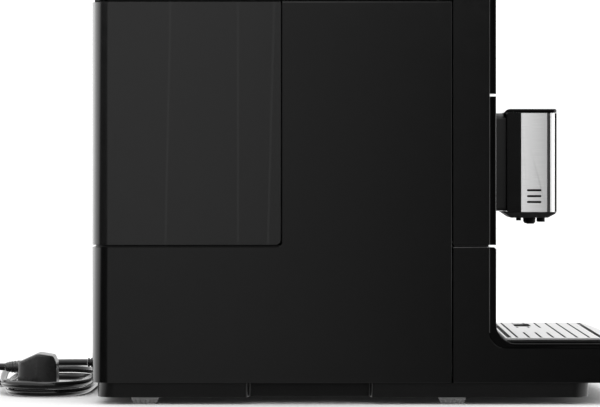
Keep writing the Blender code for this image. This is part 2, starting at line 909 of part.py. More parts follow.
def make_tank_lid(lid_carrier):
    axis = tank_lid_axis
    low_x = left_x
    high_x = tank_seam_x - panel_seam / 2
    lid = piece("tank_lid", prism(tank_outline(0), "Z", cover_bottom, machine_height),
                finish("casing_black", (0.030, 0.030, 0.031), 0.38), lid_carrier)
    round_edges(lid, top_edge_radius, lambda middle, along: abs(middle.z - machine_height) < fit_gap
                and (middle.x < low_x + rear_corner_radius or middle.y > rear_y - fit_gap)
                and abs(middle.y - (tank_seam_y + panel_seam / 2)) > fit_gap)
    inset = casing_wall
    cut(lid, rounded_hollow(low_x + inset, tank_seam_y + panel_seam / 2 + inset, high_x - inset,
                            rear_y - tank_lid_beam, cover_bottom - overrun,
                            machine_height - lid_roof))
    cut(lid, lid_corner_tool(tank_lid_hinge_radius, axis.y, axis.z, low_x, high_x))
    reach = ear_radius + sliding_gap
    slots = [box((x - ear_width / 2 - sliding_gap, axis.y - reach, cover_bottom - overrun),
                 (x + ear_width / 2 + sliding_gap, rear_y + overrun, axis.z + reach))
             for x in ear_places()]
    cut(lid, *slots)
    cut(lid, rod(tank_lid_pin_radius + fit_gap, Vector((low_x + inset, axis.y, axis.z)),
                 high_x - low_x - 2 * inset, "X", 12))


def rounded_hollow(low_x, low_y, high_x, high_y, low_z, high_z):
    """A hollow with its standing edges rounded like the inside of a moulding."""
    return prism(rectangle(low_x, low_y, high_x, high_y, casing_wall), "Z", low_z, high_z)


def make_tank_pin(tank_carrier):
    axis = tank_lid_axis
    reach = tank_width - panel_seam / 2 - 2 * (casing_wall + fit_gap)
    piece("tank_lid_pin", rod(tank_lid_pin_radius, Vector((left_x + casing_wall + fit_gap, axis.y,
                                                           axis.z)), reach, "X", 12),
          finish("bright_steel", (0.55, 0.55, 0.56), 0.3, 1.0), tank_carrier)


# Top cover, cup rest, hopper and its lid

def cover_outline(inset):
    """The L-shaped plan of the top cover, beside and in front of the tank lid."""
    return rounded([(left_x + inset, casing_front_y + inset, 0),
                    (right_x - inset, casing_front_y + inset, 0),
                    (right_x - inset, rear_y - inset, rear_corner_radius - inset),
                    (tank_seam_x + panel_seam / 2 + inset, rear_y - inset, 0),
                    (tank_seam_x + panel_seam / 2 + inset, tank_seam_y - panel_seam / 2 - inset, 0),
                    (left_x + inset, tank_seam_y - panel_seam / 2 - inset, 0)])


def cup_rest_box(grow, low, high):
    front = casing_front_y + cup_rest_front_inset
    half = cup_rest_width / 2
    return prism(rectangle(-half - grow, front - grow, half + grow, front + cup_rest_length + grow,
                           cup_rest_margin), "Z", low, high)


def make_top_cover():
    cover = piece("top_cover", prism(cover_outline(0), "Z", cover_bottom, machine_height),
                  finish("casing_black", (0.030, 0.030, 0.031), 0.38))
    round_edges(cover, top_edge_radius,
                lambda middle, along: abs(middle.z - machine_height) < fit_gap
                and (middle.x > right_x - rear_corner_radius or middle.y > rear_y - fit_gap
                     or middle.x < left_x + fit_gap)
                and middle.y > casing_front_y + fit_gap)
    cut(cover, prism(cover_outline(casing_wall), "Z", cover_bottom - overrun,
                     machine_height - roof_thickness))
    half_x = hopper_width / 2
    half_y = hopper_length / 2
    cut(cover, box((hopper_x - half_x, hopper_y - half_y, machine_height - roof_thickness - overrun),
                   (hopper_x + half_x, hopper_y + half_y, machine_height + overrun)))
    cut(cover, cup_rest_box(fit_gap, machine_height - cup_rest_thickness - fit_gap,
                            machine_height + overrun))
    cut(cover, rod(knob_radius + sliding_gap, knob_axis - Vector((0, 0, fit_gap)),
                   knob_height + overrun))
    start = Vector((hopper_x - half_x - lid_pin_reach - fit_gap, hopper_axis.y, hopper_axis.z))
    cut(cover, rod(lid_pin_radius + fit_gap, start, hopper_width + 2 * (lid_pin_reach + fit_gap),
                   "X", 8))


def make_cup_rest():
    rest = piece("cup_rest", cup_rest_box(0, machine_height - cup_rest_thickness, machine_height),
                 finish("brushed_steel", (0.55, 0.55, 0.55), 0.35, 1.0))
    front = casing_front_y + cup_rest_front_inset + cup_rest_margin
    pitch = (cup_rest_length - 2 * cup_rest_margin) / (cup_rest_grooves - 1)
    half = cup_rest_width / 2 - cup_rest_margin
    grooves = [box((-half, front + i * pitch - cup_rest_groove_width / 2,
                    machine_height - cup_rest_groove_depth),
                   (half, front + i * pitch + cup_rest_groove_width / 2, machine_height + overrun))
               for i in range(cup_rest_grooves)]
    cut(rest, *grooves)


def hopper_ring(half_x, half_y, radius, height, round_share):
    """One level of the hopper, from its round outlet to its rectangular mouth."""
    ring = []
    steps = 32
    for i in range(steps):
        turn = math.tau * i / steps
        across = math.cos(turn)
        along = math.sin(turn)
        scale = 1 / max(abs(across), abs(along))
        square = Vector((hopper_x + half_x * across * scale, hopper_y + half_y * along * scale,
                         height))
        rounder = Vector((grinder_axis.x + radius * across, grinder_axis.y + radius * along,
                          height))
        ring.append(square.lerp(rounder, round_share))
    return ring


def make_hopper():
    flange_top = machine_height - roof_thickness - fit_gap
    flange_low = flange_top - hopper_flange
    mouth_x = hopper_width / 2 - hopper_flange
    mouth_y = hopper_length / 2 - hopper_flange
    outlet = grinder_axis.z + motor_height + fit_gap + grinder_height + fit_gap
    straight = flange_low - hopper_straight_depth
    wall = hopper_wall
    rings = [hopper_ring(mouth_x, mouth_y, hopper_outlet_radius, outlet, 1),
             hopper_ring(mouth_x, mouth_y, hopper_outlet_radius, straight, 0),
             hopper_ring(mouth_x, mouth_y, hopper_outlet_radius, flange_low, 0),
             hopper_ring(mouth_x + 2 * hopper_flange, mouth_y + 2 * hopper_flange,
                         hopper_outlet_radius, flange_low, 0),
             hopper_ring(mouth_x + 2 * hopper_flange, mouth_y + 2 * hopper_flange,
                         hopper_outlet_radius, flange_top, 0),
             hopper_ring(mouth_x - wall, mouth_y - wall, hopper_outlet_radius, flange_top, 0),
             hopper_ring(mouth_x - wall, mouth_y - wall, hopper_outlet_radius - wall, straight, 0),
             hopper_ring(mouth_x - wall, mouth_y - wall, hopper_outlet_radius - wall, outlet, 1)]
    piece("bean_hopper", loft(rings, closed=True),
          finish("hopper_smoked", (0.07, 0.065, 0.06), 0.2))


def make_hopper_lid(lid_carrier):
    gap = sliding_gap
    low_z = machine_height - roof_thickness
    radius = roof_thickness / 2
    rear = hopper_axis.y
    front = hopper_y - hopper_length / 2 + gap
    outline = [(front, low_z), (rear, low_z)]
    outline += [(rear + radius * math.sin(math.pi * i / 8), hopper_axis.z
                 - radius * math.cos(math.pi * i / 8)) for i in range(1, 8)]
    outline += [(rear, machine_height), (front, machine_height)]
    low_x = hopper_x - hopper_width / 2 + gap
    lid = piece("hopper_lid", prism(outline, "X", low_x, low_x + hopper_width - 2 * gap),
                finish("gloss_black", (0.008, 0.008, 0.008), 0.08), lid_carrier)
    cut(lid, rod(lid_pin_radius + fit_gap, Vector((low_x - overrun, rear, hopper_axis.z)),
                 hopper_width + 2 * overrun, "X", 8))
    half = grip_scoop_width / 2
    scoop = rounded([(hopper_x - half, front - overrun, 0), (hopper_x + half, front - overrun, 0),
                     (hopper_x + half, front + half / 2, half / 3),
                     (hopper_x - half, front + half / 2, half / 3)])
    cut(lid, prism(scoop, "Z", machine_height - roof_thickness / 2, machine_height + overrun))


def make_hopper_pin():
    start = Vector((hopper_x - hopper_width / 2 - lid_pin_reach, hopper_axis.y, hopper_axis.z))
    piece("hopper_lid_pin", rod(lid_pin_radius, start, hopper_width + 2 * lid_pin_reach, "X", 8),
          finish("bright_steel", (0.55, 0.55, 0.56), 0.3, 1.0))


def make_knob(knob_carrier):
    base = knob_axis
    low = knob_height / 2
    knob = piece("grind_knob", rod(knob_radius, base, low, steps=24),
                 finish("knob_plastic", (0.06, 0.06, 0.06), 0.5), knob_carrier)
    half = knob_ridge_width / 2
    reach = knob_radius * math.cos(math.asin(half / knob_radius)) - fit_gap
    add(knob, box((base.x - half, base.y - reach, base.z + low / 2),
                  (base.x + half, base.y + reach, base.z + knob_height)))


# Grinder

def make_grinder(burr_carrier):
    centre = grinder_axis
    metal = finish("motor_steel", (0.35, 0.35, 0.36), 0.4, 1.0)
    dark = finish("grinder_black", (0.05, 0.05, 0.05), 0.5)
    bevel = motor_radius / 10
    piece("grinder_motor", turned([(motor_radius - bevel, 0), (motor_radius, bevel),
                                   (motor_radius, motor_height - bevel),
                                   (motor_radius - bevel, motor_height)], centre), metal)
    seat = centre + Vector((0, 0, motor_height + fit_gap))
    bore = grinder_shaft_radius + shaft_clearance
    top = grinder_height
    profile = [(bore, 0), (grinder_radius, 0), (grinder_radius, top - grinder_shoulder),
               (grinder_radius - grinder_shoulder / 2, top),
               (hopper_outlet_radius - hopper_wall, top),
               (burr_chamber_radius, top - grinder_shoulder),
               (burr_chamber_radius, burr_chamber_floor), (bore, burr_chamber_floor)]
    piece("grinder_housing", turned(profile, seat, closed=True), dark)
    ring_low = top - grinder_shoulder - ring_burr_height
    ring_base = seat + Vector((0, 0, ring_low))
    outer = burr_chamber_radius - fit_gap
    piece("ring_burr", turned([(ring_burr_low_radius, 0), (outer, 0),
                               (outer, ring_burr_height - sliding_gap),
                               (ring_burr_top_radius, ring_burr_height - sliding_gap)],
                              ring_base, closed=True), metal)
    base = seat.z + fit_gap
    cone_low = ring_base.z - (cone_burr_height - ring_burr_height) / 2
    rings = [burr_ring(grinder_shaft_radius, base, 0), burr_ring(grinder_shaft_radius, cone_low, 0),
             burr_ring(cone_burr_low_radius, cone_low, burr_tooth_depth),
             burr_ring(cone_burr_top_radius, cone_low + cone_burr_height, burr_tooth_depth)]
    piece("cone_burr", loft(rings), metal, burr_carrier)


def burr_ring(radius, height, depth):
    """A toothed outline round the grinder's axis."""
    ring = []
    for i in range(2 * burr_teeth):
        turn = math.pi * i / burr_teeth
        out = radius - (depth if i % 2 else 0)
        ring.append(Vector((grinder_axis.x + out * math.cos(turn),
                            grinder_axis.y + out * math.sin(turn), height)))
    return ring


# Brew unit

def brew_middle():
    """The axis of the brew cylinder, which stands against the frame's back."""
    back = bulkhead_rear_y + fit_gap + brew_frame_depth - brew_frame_wall
    return Vector((0, back - fit_gap - brew_cylinder_radius, 0))


def make_brew_frame():
    half = brew_frame_width / 2
    front = bulkhead_rear_y + fit_gap
    back = front + brew_frame_depth
    low = brew_frame_base
    high = low + brew_frame_height
    wall = brew_frame_wall
    frame = piece("brew_unit_frame", box((-half, front, low), (half, back, high)),
                  finish("brew_grey", (0.22, 0.22, 0.23), 0.5))
    cut(frame, box((-half + wall, front - overrun, low + wall),
                   (half - wall, back - wall, high + overrun)))
    flange = (brew_window_width - brew_frame_width) / 2 + 2 * wall
    add(frame, box((-half - flange, front, low + wall), (-half + wall / 2, front + wall, high - wall)),
        box((half - wall / 2, front, low + wall), (half + flange, front + wall, high - wall)))
    bore = spindle_radius + shaft_clearance
    cut(frame, rod(bore, Vector((spindle_axis.x, spindle_axis.y, low - overrun)), wall + 2 * overrun),
        rod(brew_bore_radius, brew_middle() + Vector((0, 0, low - overrun)), wall + 2 * overrun,
            steps=24))


def make_brew_cylinder():
    base = brew_middle() + Vector((0, 0, brew_cylinder_base))
    outlet = piston_rod_radius / 2
    profile = [(outlet, 0), (brew_cylinder_radius, 0), (brew_cylinder_radius, brew_cylinder_height),
               (brew_bore_radius, brew_cylinder_height), (brew_bore_radius, brew_cylinder_floor),
               (outlet, brew_cylinder_floor)]
    piece("brew_cylinder", turned(profile, base, closed=True),
          finish("brew_white", (0.45, 0.45, 0.44), 0.45))


def make_piston(piston_carrier):
    middle = brew_middle()
    head_low = brew_cylinder_base + brew_cylinder_height - piston_head_height
    arm_low = brew_cylinder_base + brew_cylinder_height + piston_travel + sliding_gap
    profile = [(brew_bore_radius - fit_gap, head_low),
               (brew_bore_radius - fit_gap, head_low + piston_head_height),
               (piston_rod_radius, head_low + piston_head_height),
               (piston_rod_radius, arm_low + piston_arm_height)]
    piston = piece("brew_piston", turned(profile, middle, steps=24),
                   finish("brew_dark", (0.06, 0.06, 0.07), 0.45), piston_carrier)
    nut = Vector((spindle_axis.x, spindle_axis.y, 0))
    reach = (nut - middle).xy.normalized()
    side = Vector((-reach.y, reach.x)) * (piston_rod_radius * 0.7)
    start = middle.xy
    end = nut.xy - reach * (piston_nut_radius / 2)
    outline = [tuple(start + side), tuple(start - side), tuple(end - side), tuple(end + side)]
    add(piston, prism(outline, "Z", arm_low + piston_arm_height / 8,
                      arm_low + piston_arm_height * 7 / 8))
    boss = nut + Vector((0, 0, arm_low))
    add(piston, rod(piston_nut_radius, boss, piston_arm_height))
    bore = spindle_radius + shaft_clearance
    cut(piston, rod(bore, boss - Vector((0, 0, overrun)), piston_arm_height + 2 * overrun))


def gear_ring(radius, height, depth):
    """A ring round the spindle with square teeth of the given depth."""
    ring = []
    for i in range(4 * drive_gear_teeth):
        turn = math.tau * i / (4 * drive_gear_teeth)
        out = radius - (depth if i % 4 > 1 else 0)
        ring.append(Vector((spindle_axis.x + out * math.cos(turn),
                            spindle_axis.y + out * math.sin(turn), height)))
    return ring


def make_spindle(spindle_carrier):
    low = brew_frame_base
    gear_low = low + brew_frame_wall + fit_gap
    gear_top = gear_low + drive_gear_height
    top = low + brew_frame_height - brew_frame_wall
    rings = [gear_ring(spindle_radius, low, 0), gear_ring(spindle_radius, gear_low, 0),
             gear_ring(drive_gear_radius, gear_low, drive_gear_tooth),
             gear_ring(drive_gear_radius, gear_top, drive_gear_tooth),
             gear_ring(spindle_radius, gear_top, 0), gear_ring(spindle_radius, top, 0)]
    piece("brew_spindle", loft(rings), finish("bright_steel", (0.55, 0.55, 0.56), 0.3, 1.0),
          spindle_carrier)


# Boiler, pump, hose and board

def make_boiler():
    base = Vector((boiler_x, base_unit_front_y, base_top + fit_gap + boiler_radius))
    neck = boiler_radius - boiler_flange
    length = boiler_length
    profile = [(neck, 0), (boiler_radius, boiler_flange), (boiler_radius, 2 * boiler_flange),
               (neck, 3 * boiler_flange), (neck, length - 3 * boiler_flange),
               (boiler_radius, length - 2 * boiler_flange), (boiler_radius, length - boiler_flange),
               (neck, length)]
    boiler = piece("boiler", turned(profile, base, "Y", 24),
                   finish("boiler_steel", (0.50, 0.50, 0.50), 0.35, 1.0))
    add(boiler, rod(port_radius, base + Vector((0, length - port_length, 0)), 2 * port_length, "Y"))


def make_pump():
    base = Vector((pump_x, base_unit_front_y, base_top + fit_gap + pump_radius))
    step = pump_radius * 0.8
    length = pump_length
    profile = [(step, 0), (step, length / 4), (pump_radius, length / 4),
               (pump_radius, length * 3 / 4), (step, length * 3 / 4), (step, length)]
    pump = piece("pump", turned(profile, base, "Y", 24),
                 finish("pump_brown", (0.20, 0.15, 0.08), 0.4))
    add(pump, rod(port_radius, base + Vector((0, length - port_length, 0)), 2 * port_length, "Y"))


def make_hose():
    start = Vector((pump_x, base_unit_front_y + pump_length + port_length + fit_gap,
                    base_top + fit_gap + pump_radius))
    end = Vector((boiler_x, base_unit_front_y + boiler_length + port_length + fit_gap,
                  base_top + fit_gap + boiler_radius))
    straight = Vector((0, cord_diameter, 0))
    reach = Vector((0, hose_reach, 0))
    points = [start, start + straight]
    points += bezier(start + straight, start + straight + reach, end + straight + reach,
                     end + straight, 24)[1:]
    points += [end]
    tube("pump_hose", points, hose_radius, finish("hose_silicone", (0.6, 0.58, 0.55), 0.5), 2)


def bezier(a, b, c, d, steps):
    """Points on a cubic curve between a and d."""
    points = []
    for i in range(steps + 1):
        t = i / steps
        points.append(a * (1 - t) ** 3 + b * (3 * t * (1 - t) ** 2) + c * (3 * t * t * (1 - t))
                      + d * t ** 3)
    return points


def make_board():
    x = inner_x - board_side_inset
    low = base_top + fit_gap
    board_height = shelf_height - base_top - board_headroom
    rear = inner_rear_y - rear_corner_radius
    board_length = (rear - partition_y - chassis_wall) * board_length_share
    board = piece("control_board", box((x - board_thickness, rear - board_length, low),
                                       (x, rear, low + board_height)),
                  finish("board_green", (0.02, 0.10, 0.04), 0.5))
    block = board_block
    add(board, *[box((x - board_thickness / 2 - block, rear - block * (1.5 + 1.6 * i), low + block),
                     (x - board_thickness / 2, rear - block * (0.5 + 1.6 * i), low + 2 * block))
                 for i in range(3)])


# Door, hinges, fascias, lens and button

def hinge_places():
    """The lower ends of the two hinge knuckles."""
    return {"lower": tank_bottom + hinge_end_inset,
            "upper": machine_height - hinge_end_inset - hinge_knuckle_height}


def spout_slot(grow, low_y, high_y):
    half = neck_width / 2 + sliding_gap + grow
    low = neck_base - spout_travel_down - sliding_gap - grow
    high = neck_base + neck_height + spout_travel_up + sliding_gap + grow
    return box((-half, low_y, low), (half, high_y, high))


def make_door(door_carrier):
    axis = door_axis
    radius = door_hinge_radius
    arc = [(axis.x + radius * math.cos(math.pi / 2 * i / 8), axis.y + radius
            * math.sin(math.pi / 2 * i / 8)) for i in range(9)]
    outline = [(left_x, door_front_y), (right_x, door_front_y)] + arc + [(left_x, door_rear_y)]
    frame = piece("door_frame", prism(outline, "Z", tank_bottom, machine_height),
                  finish("casing_black", (0.030, 0.030, 0.031), 0.38), door_carrier)
    wall = door_wall
    post_x = right_x - door_post
    post_y = door_rear_y - door_post
    hollow = [(left_x + wall, door_front_y + wall), (right_x - wall, door_front_y + wall),
              (right_x - wall, post_y), (post_x, post_y), (post_x, door_rear_y + overrun),
              (left_x + wall, door_rear_y + overrun)]
    cut(frame, prism(hollow, "Z", tank_bottom + wall, machine_height - wall))
    reach = hinge_knuckle_radius + sliding_gap
    slots = []
    bores = []
    for low in hinge_places().values():
        slots.append(box((axis.x - reach, axis.y - reach, low - sliding_gap),
                         (right_x + overrun, door_rear_y + overrun,
                          low + hinge_knuckle_height + sliding_gap)))
        bores.append(rod(hinge_pin_radius + fit_gap,
                         Vector((axis.x, axis.y, low - hinge_pin_reach - fit_gap)),
                         hinge_knuckle_height + 2 * (hinge_pin_reach + fit_gap)))
    cut(frame, *slots)
    cut(frame, *bores)
    cut(frame, spout_slot(0, door_front_y - overrun, door_front_y + wall + overrun))
    cut(frame, rod(button_radius + fit_gap + fit_gap,
                   Vector((button_axis.x, door_front_y - overrun, button_axis.z)),
                   wall + 2 * overrun, "Y"))


def make_fascias(door_carrier):
    gloss = finish("gloss_black", (0.008, 0.008, 0.008), 0.08)
    groove_low = groove_height - fascia_groove / 2
    groove_high = groove_height + fascia_groove / 2

    def plate(name, low, high):
        edge = fascia_edge
        front = fascia_front_y
        back = fascia_rear_y
        outline = [(left_x, back), (right_x, back), (right_x, front + edge), (right_x - edge, front),
                   (left_x + edge, front), (left_x, front + edge)]
        return piece(name, prism(outline, "Z", low, high), gloss, door_carrier)

    upper = plate("control_fascia", groove_high, machine_height)
    middle = plate("middle_fascia", tank_bottom, groove_low)
    cut(middle, spout_slot(0, fascia_front_y - overrun, fascia_rear_y + overrun))
    half_x = lens_width / 2
    half_z = lens_height / 2
    pocket = rectangle(-half_x - fit_gap, lens_centre_height - half_z - fit_gap, half_x + fit_gap,
                       lens_centre_height + half_z + fit_gap, lens_corner_radius)
    cut(upper, prism(pocket, "Y", fascia_front_y - overrun, fascia_front_y + lens_thickness + fit_gap))
    cut(upper, rod(button_radius + 2 * fit_gap,
                   Vector((button_axis.x, fascia_front_y - overrun, button_axis.z)),
                   fascia_thickness + 2 * overrun, "Y"))
    glass = rectangle(-half_x, lens_centre_height - half_z, half_x, lens_centre_height + half_z,
                      lens_corner_radius)
    piece("display_lens", prism(glass, "Y", fascia_front_y, fascia_front_y + lens_thickness),
          finish("lens_glass", (0.02, 0.02, 0.025), 0.05), door_carrier)


def make_button(button_carrier):
    base = button_axis
    edge = button_proud
    end = button_length
    profile = [(button_radius - edge, -button_proud), (button_radius, 0.0),
               (button_radius, end), (button_radius + button_flange, end),
               (button_radius + button_flange, end + button_flange)]
    piece("power_button", turned(profile, base, "Y", 24),
          finish("button_steel", (0.60, 0.60, 0.60), 0.3, 1.0), button_carrier)


def make_hinges():
    metal = finish("hinge_steel", (0.40, 0.40, 0.41), 0.4, 1.0)
    axis = door_axis
    plate_rear = bulkhead_front_y - fit_gap
    plate_front = plate_rear - hinge_plate_thickness
    for place, low in hinge_places().items():
        high = low + hinge_knuckle_height
        middle = (low + high) / 2
        right = inner_x - casing_wall
        bracket = piece(f"door_hinge_{place}",
                        box((right - hinge_plate_width, plate_front,
                             middle - hinge_plate_height / 2),
                            (right, plate_rear, middle + hinge_plate_height / 2)), metal)
        half = hinge_pin_radius + hinge_plate_thickness / 2
        outline = [(axis.x - half, plate_rear - hinge_plate_thickness / 2),
                   (axis.x - half, axis.y), (axis.x + half, axis.y),
                   (axis.x + half, plate_rear - hinge_plate_thickness / 2)]
        add(bracket, prism(outline, "Z", low + fit_gap, high - fit_gap))
        reach = hinge_pin_reach
        low_pin = Vector((axis.x, axis.y, low - reach))
        profile = [(hinge_pin_radius, 0), (hinge_pin_radius, reach), (hinge_knuckle_radius, reach),
                   (hinge_knuckle_radius, reach + hinge_knuckle_height),
                   (hinge_pin_radius, reach + hinge_knuckle_height),
                   (hinge_pin_radius, 2 * reach + hinge_knuckle_height)]
        add(bracket, turned(profile, low_pin, steps=24))


# Spout

def make_spout(spout_carrier):
    black = finish("spout_black", (0.020, 0.020, 0.020), 0.35)
    gloss = finish("gloss_black", (0.008, 0.008, 0.008), 0.08)
    steel = finish("brushed_steel", (0.55, 0.55, 0.55), 0.35, 1.0)
    keeper_rear = door_front_y + door_wall + sliding_gap + keeper_thickness
    keeper_front = keeper_rear - keeper_thickness
    neck_front = fascia_front_y - sliding_gap + fit_gap
    half = neck_width / 2
    keeper = piece("spout_keeper",
                   box((-half - keeper_margin, keeper_front, neck_base - keeper_margin),
                       (half + keeper_margin, keeper_rear,
                        neck_base + neck_height + keeper_margin)), black, spout_carrier)
    add(keeper, box((-half, neck_front, neck_base),
                    (half, keeper_front + keeper_thickness / 2, neck_base + neck_height)))
    rear = fascia_front_y - sliding_gap
    side = slider_width / 2
    top = spout_top_z - fit_gap
    bevel = slider_bevel
    drop = top - 2 * slider_bevel_drop
    rings = [slider_ring(side - bevel / 3, rear, slider_front_y, slider_base),
             slider_ring(side, rear, slider_front_y, slider_base + bevel),
             slider_ring(side, rear, slider_front_y, drop),
             slider_ring(side - bevel / 4, rear, slider_front_y, drop + slider_bevel_drop),
             slider_ring(side - bevel, rear, slider_front_y, top)]
    piece("spout_slider", loft(rings), black, spout_carrier)
    body = piece("spout_body", prism(spout_outline(0), "Z", spout_base_z + fit_gap,
                                     spout_top_z - fit_gap), black, spout_carrier)
    wide = spout_width / 2
    cheek_rear = spout_rear_y - cheek_setback
    cheek_front = cheek_rear - cheek_length
    low = spout_base_z + fit_gap
    high = spout_top_z - fit_gap
    pockets = []
    for sign in (-1, 1):
        outer = sign * (wide + overrun)
        inner = sign * (wide - cheek_thickness - fit_gap)
        pockets.append(box((min(inner, outer), cheek_front - fit_gap, low - overrun),
                           (max(inner, outer), cheek_rear + fit_gap, high + overrun)))
    cut(body, *pockets)
    trim_rear = spout_front_y + trim_length
    cut(body, trim_shape(trim_rear + fit_gap, trim_thickness + fit_gap, low - overrun,
                         high + overrun, overrun))
    for hand, sign in (("left", -1), ("right", 1)):
        outer = sign * wide
        inner = sign * (wide - cheek_thickness)
        cheek = piece(f"spout_cheek_{hand}", box((min(inner, outer), cheek_front, low),
                                                 (max(inner, outer), cheek_rear, high)),
                      steel, spout_carrier)
        middle = (cheek_front + cheek_rear) / 2
        slots = []
        for i in range(cheek_slots):
            base = low + cheek_slot_base + i * cheek_slot_pitch
            outline = rectangle(middle - cheek_slot_length / 2, base,
                                middle + cheek_slot_length / 2, base + cheek_slot_height,
                                cheek_slot_height * 0.49, 3)
            slots.append(prism(outline, "X", min(inner, outer) - overrun,
                               max(inner, outer) + overrun))
        cut(cheek, *slots)
    piece("spout_trim", trim_shape(trim_rear, trim_thickness, low, high, 0),
          finish("bright_trim", (0.80, 0.80, 0.80), 0.12, 1.0), spout_carrier)
    pane = rectangle(-wide + spout_corner_radius, low, wide - spout_corner_radius, high)
    piece("spout_pane", prism(pane, "Y", spout_front_y - fit_gap - pane_thickness,
                              spout_front_y - fit_gap), gloss, spout_carrier)
    make_spout_ends(spout_carrier, black, gloss)


def slider_ring(side, rear, front, height):
    return [Vector((-side, rear, height)), Vector((side, rear, height)),
            Vector((side, front, height)), Vector((-side, front, height))]


def spout_outline(inset):
    """The plan of the spout body, with its front corners rounded."""
    side = spout_width / 2 - inset
    radius = spout_corner_radius
    return rounded([(-side, spout_rear_y - inset, 0), (-side, spout_front_y + inset, radius),
                    (side, spout_front_y + inset, radius), (side, spout_rear_y - inset, 0)])


def trim_shape(rear, thickness, low, high, grow):
    """A U-shaped strip round the front corners of the spout."""
    side = spout_width / 2 + grow
    front = spout_front_y - grow
    outer_radius = spout_corner_radius + grow
    inner = spout_width / 2 - thickness
    inner_radius = spout_corner_radius - thickness
    back = spout_front_y + thickness
    outline = rounded([(-side, rear, 0), (-side, front, outer_radius), (side, front, outer_radius),
                       (side, rear, 0), (inner, rear, 0), (inner, back, inner_radius),
                       (-inner, back, inner_radius), (-inner, rear, 0)])
    return prism(outline, "Z", low, high)


def make_spout_ends(spout_carrier, black, gloss):
    wide = spout_width / 2
    front = spout_front_y - fit_gap - pane_thickness
    rear = spout_rear_y + spout_cap_lap
    low = spout_top_z
    slope = spout_cap_slope
    high = low + spout_cap_height
    radius = spout_corner_radius

    def ring(side, back, ahead, height):
        outline = rounded([(-side, back, 0), (-side, ahead, radius), (side, ahead, radius),
                           (side, back, 0)])
        return [Vector((x, y, height)) for x, y in outline]

    edge = spout_cap_height / 4
    piece("spout_cap", loft([ring(wide, rear, front, low), ring(wide, rear - slope / 2, front,
                                                                high - edge),
                             ring(wide - edge, rear - slope, front + edge, high)]),
          gloss, spout_carrier)
    top = spout_base_z
    bottom = top - chin_height
    chin_rear = spout_rear_y + spout_cap_lap
    base = piece("spout_base",
                 loft([ring(wide - chin_taper, chin_rear - chin_taper, front + chin_taper, bottom),
                       ring(wide - chin_taper / 3, chin_rear - chin_taper / 3,
                            front + chin_taper / 5, top - chin_height / 3),
                       ring(wide, chin_rear, front, top)]), black, spout_carrier)
    milk_y = front + milk_nozzle_setback
    water_y = front + water_nozzle_setback
    stubs = [rod(milk_nozzle_radius, Vector((sign * milk_nozzle_radius * 2, milk_y,
                                             bottom - milk_nozzle_length)),
                 milk_nozzle_length + chin_height / 2) for sign in (-1, 1)]
    stubs.append(rod(water_nozzle_radius, Vector((0, water_y, bottom - water_nozzle_length)),
                     water_nozzle_length + chin_height / 2))
    add(base, *stubs)
    nozzle_y = front + coffee_nozzle_setback
    radius = coffee_nozzle_radius
    for hand, sign in (("left", -1), ("right", 1)):
        start = Vector((sign * coffee_nozzle_spread, nozzle_y, bottom - fit_gap
                        - coffee_nozzle_length))
        bore = coffee_nozzle_bore
        end = coffee_nozzle_length
        profile = [(bore, 0), (radius * 0.7, 0), (radius, end / 3), (radius, end),
                   (bore, end)]
        piece(f"coffee_nozzle_{hand}", turned(profile, start, steps=20, closed=True), black,
              spout_carrier)


# Drawer, pan, grounds box, insert and drip plate

def make_drawer(drawer_carrier):
    block_front = door_front_y
    low = body_bottom
    rim = tray_rim_height - fit_gap
    curve = fascia_back_curve
    curve_y = block_front - curve
    outline = [(drawer_rear_y, low), (front_y - overrun, low), (front_y - overrun, rim)]
    outline += [(curve_y + curve * math.sin(math.pi / 2 * i / 8),
                 rim + curve - curve * math.cos(math.pi / 2 * i / 8)) for i in range(9)]
    outline += [(block_front, lower_top), (drawer_rear_y, lower_top)]
    shell = piece("drawer_shell", prism(outline, "X", left_x - overrun, right_x + overrun),
                  finish("casing_black", (0.030, 0.030, 0.031), 0.38), drawer_carrier)
    keep(shell, prism(tray_outline(0, drawer_rear_y + overrun), "Z", 0, machine_height))
    wall = drawer_wall
    floor = low + drawer_floor
    side = right_x - wall
    front_wall = block_front + wall
    hollow = [(curve_y - wall, floor), (drawer_rear_y + overrun, floor),
              (drawer_rear_y + overrun, lower_top - wall), (front_wall, lower_top - wall),
              (front_wall, rim - wall), (curve_y - wall, rim - wall)]
    cut(shell, prism(hollow, "X", -side, side))
    cut(shell, prism(tray_outline(wall, curve_y), "Z", floor, rim + overrun))


def lower_fascia_profile():
    """The side view of the plate that curves down into the rim of the tray."""
    back = fascia_rear_y
    front = fascia_front_y
    low = tray_rim_height
    top = low + rim_thickness
    outer = fascia_back_curve
    inner = fascia_front_curve
    bevel = lower_fascia_bevel
    profile = [(front_y - overrun, low)]
    profile += [(back - outer + outer * math.sin(math.pi / 2 * i / 8),
                 low + outer - outer * math.cos(math.pi / 2 * i / 8)) for i in range(9)]
    profile += [(back, lower_top), (front + bevel, lower_top), (front, lower_top - bevel)]
    profile += [(front - inner + inner * math.cos(math.pi / 2 * i / 8),
                 top + inner - inner * math.sin(math.pi / 2 * i / 8)) for i in range(9)]
    profile += [(front_y - overrun, top)]
    return profile


def curve_reach(height):
    """How far back a flat sheet whose underside is at this height can lie on the rim."""
    inner = fascia_front_curve
    drop = tray_rim_height + rim_thickness + inner - height
    return fascia_front_y - inner + math.sqrt(inner ** 2 - drop ** 2) - sliding_gap


def make_lower_fascia(drawer_carrier):
    plate = piece("lower_fascia", prism(lower_fascia_profile(), "X", left_x - overrun,
                                        right_x + overrun),
                  finish("gloss_black", (0.008, 0.008, 0.008), 0.08), drawer_carrier)
    keep(plate, prism(tray_outline(0, drawer_rear_y), "Z", 0, machine_height))
    hole = field_outline(insert_skirt_inset - fit_gap, fascia_front_y - fascia_front_curve)
    cut(plate, prism(hole, "Z", tray_rim_height - overrun, tray_rim_height + rim_thickness + overrun))


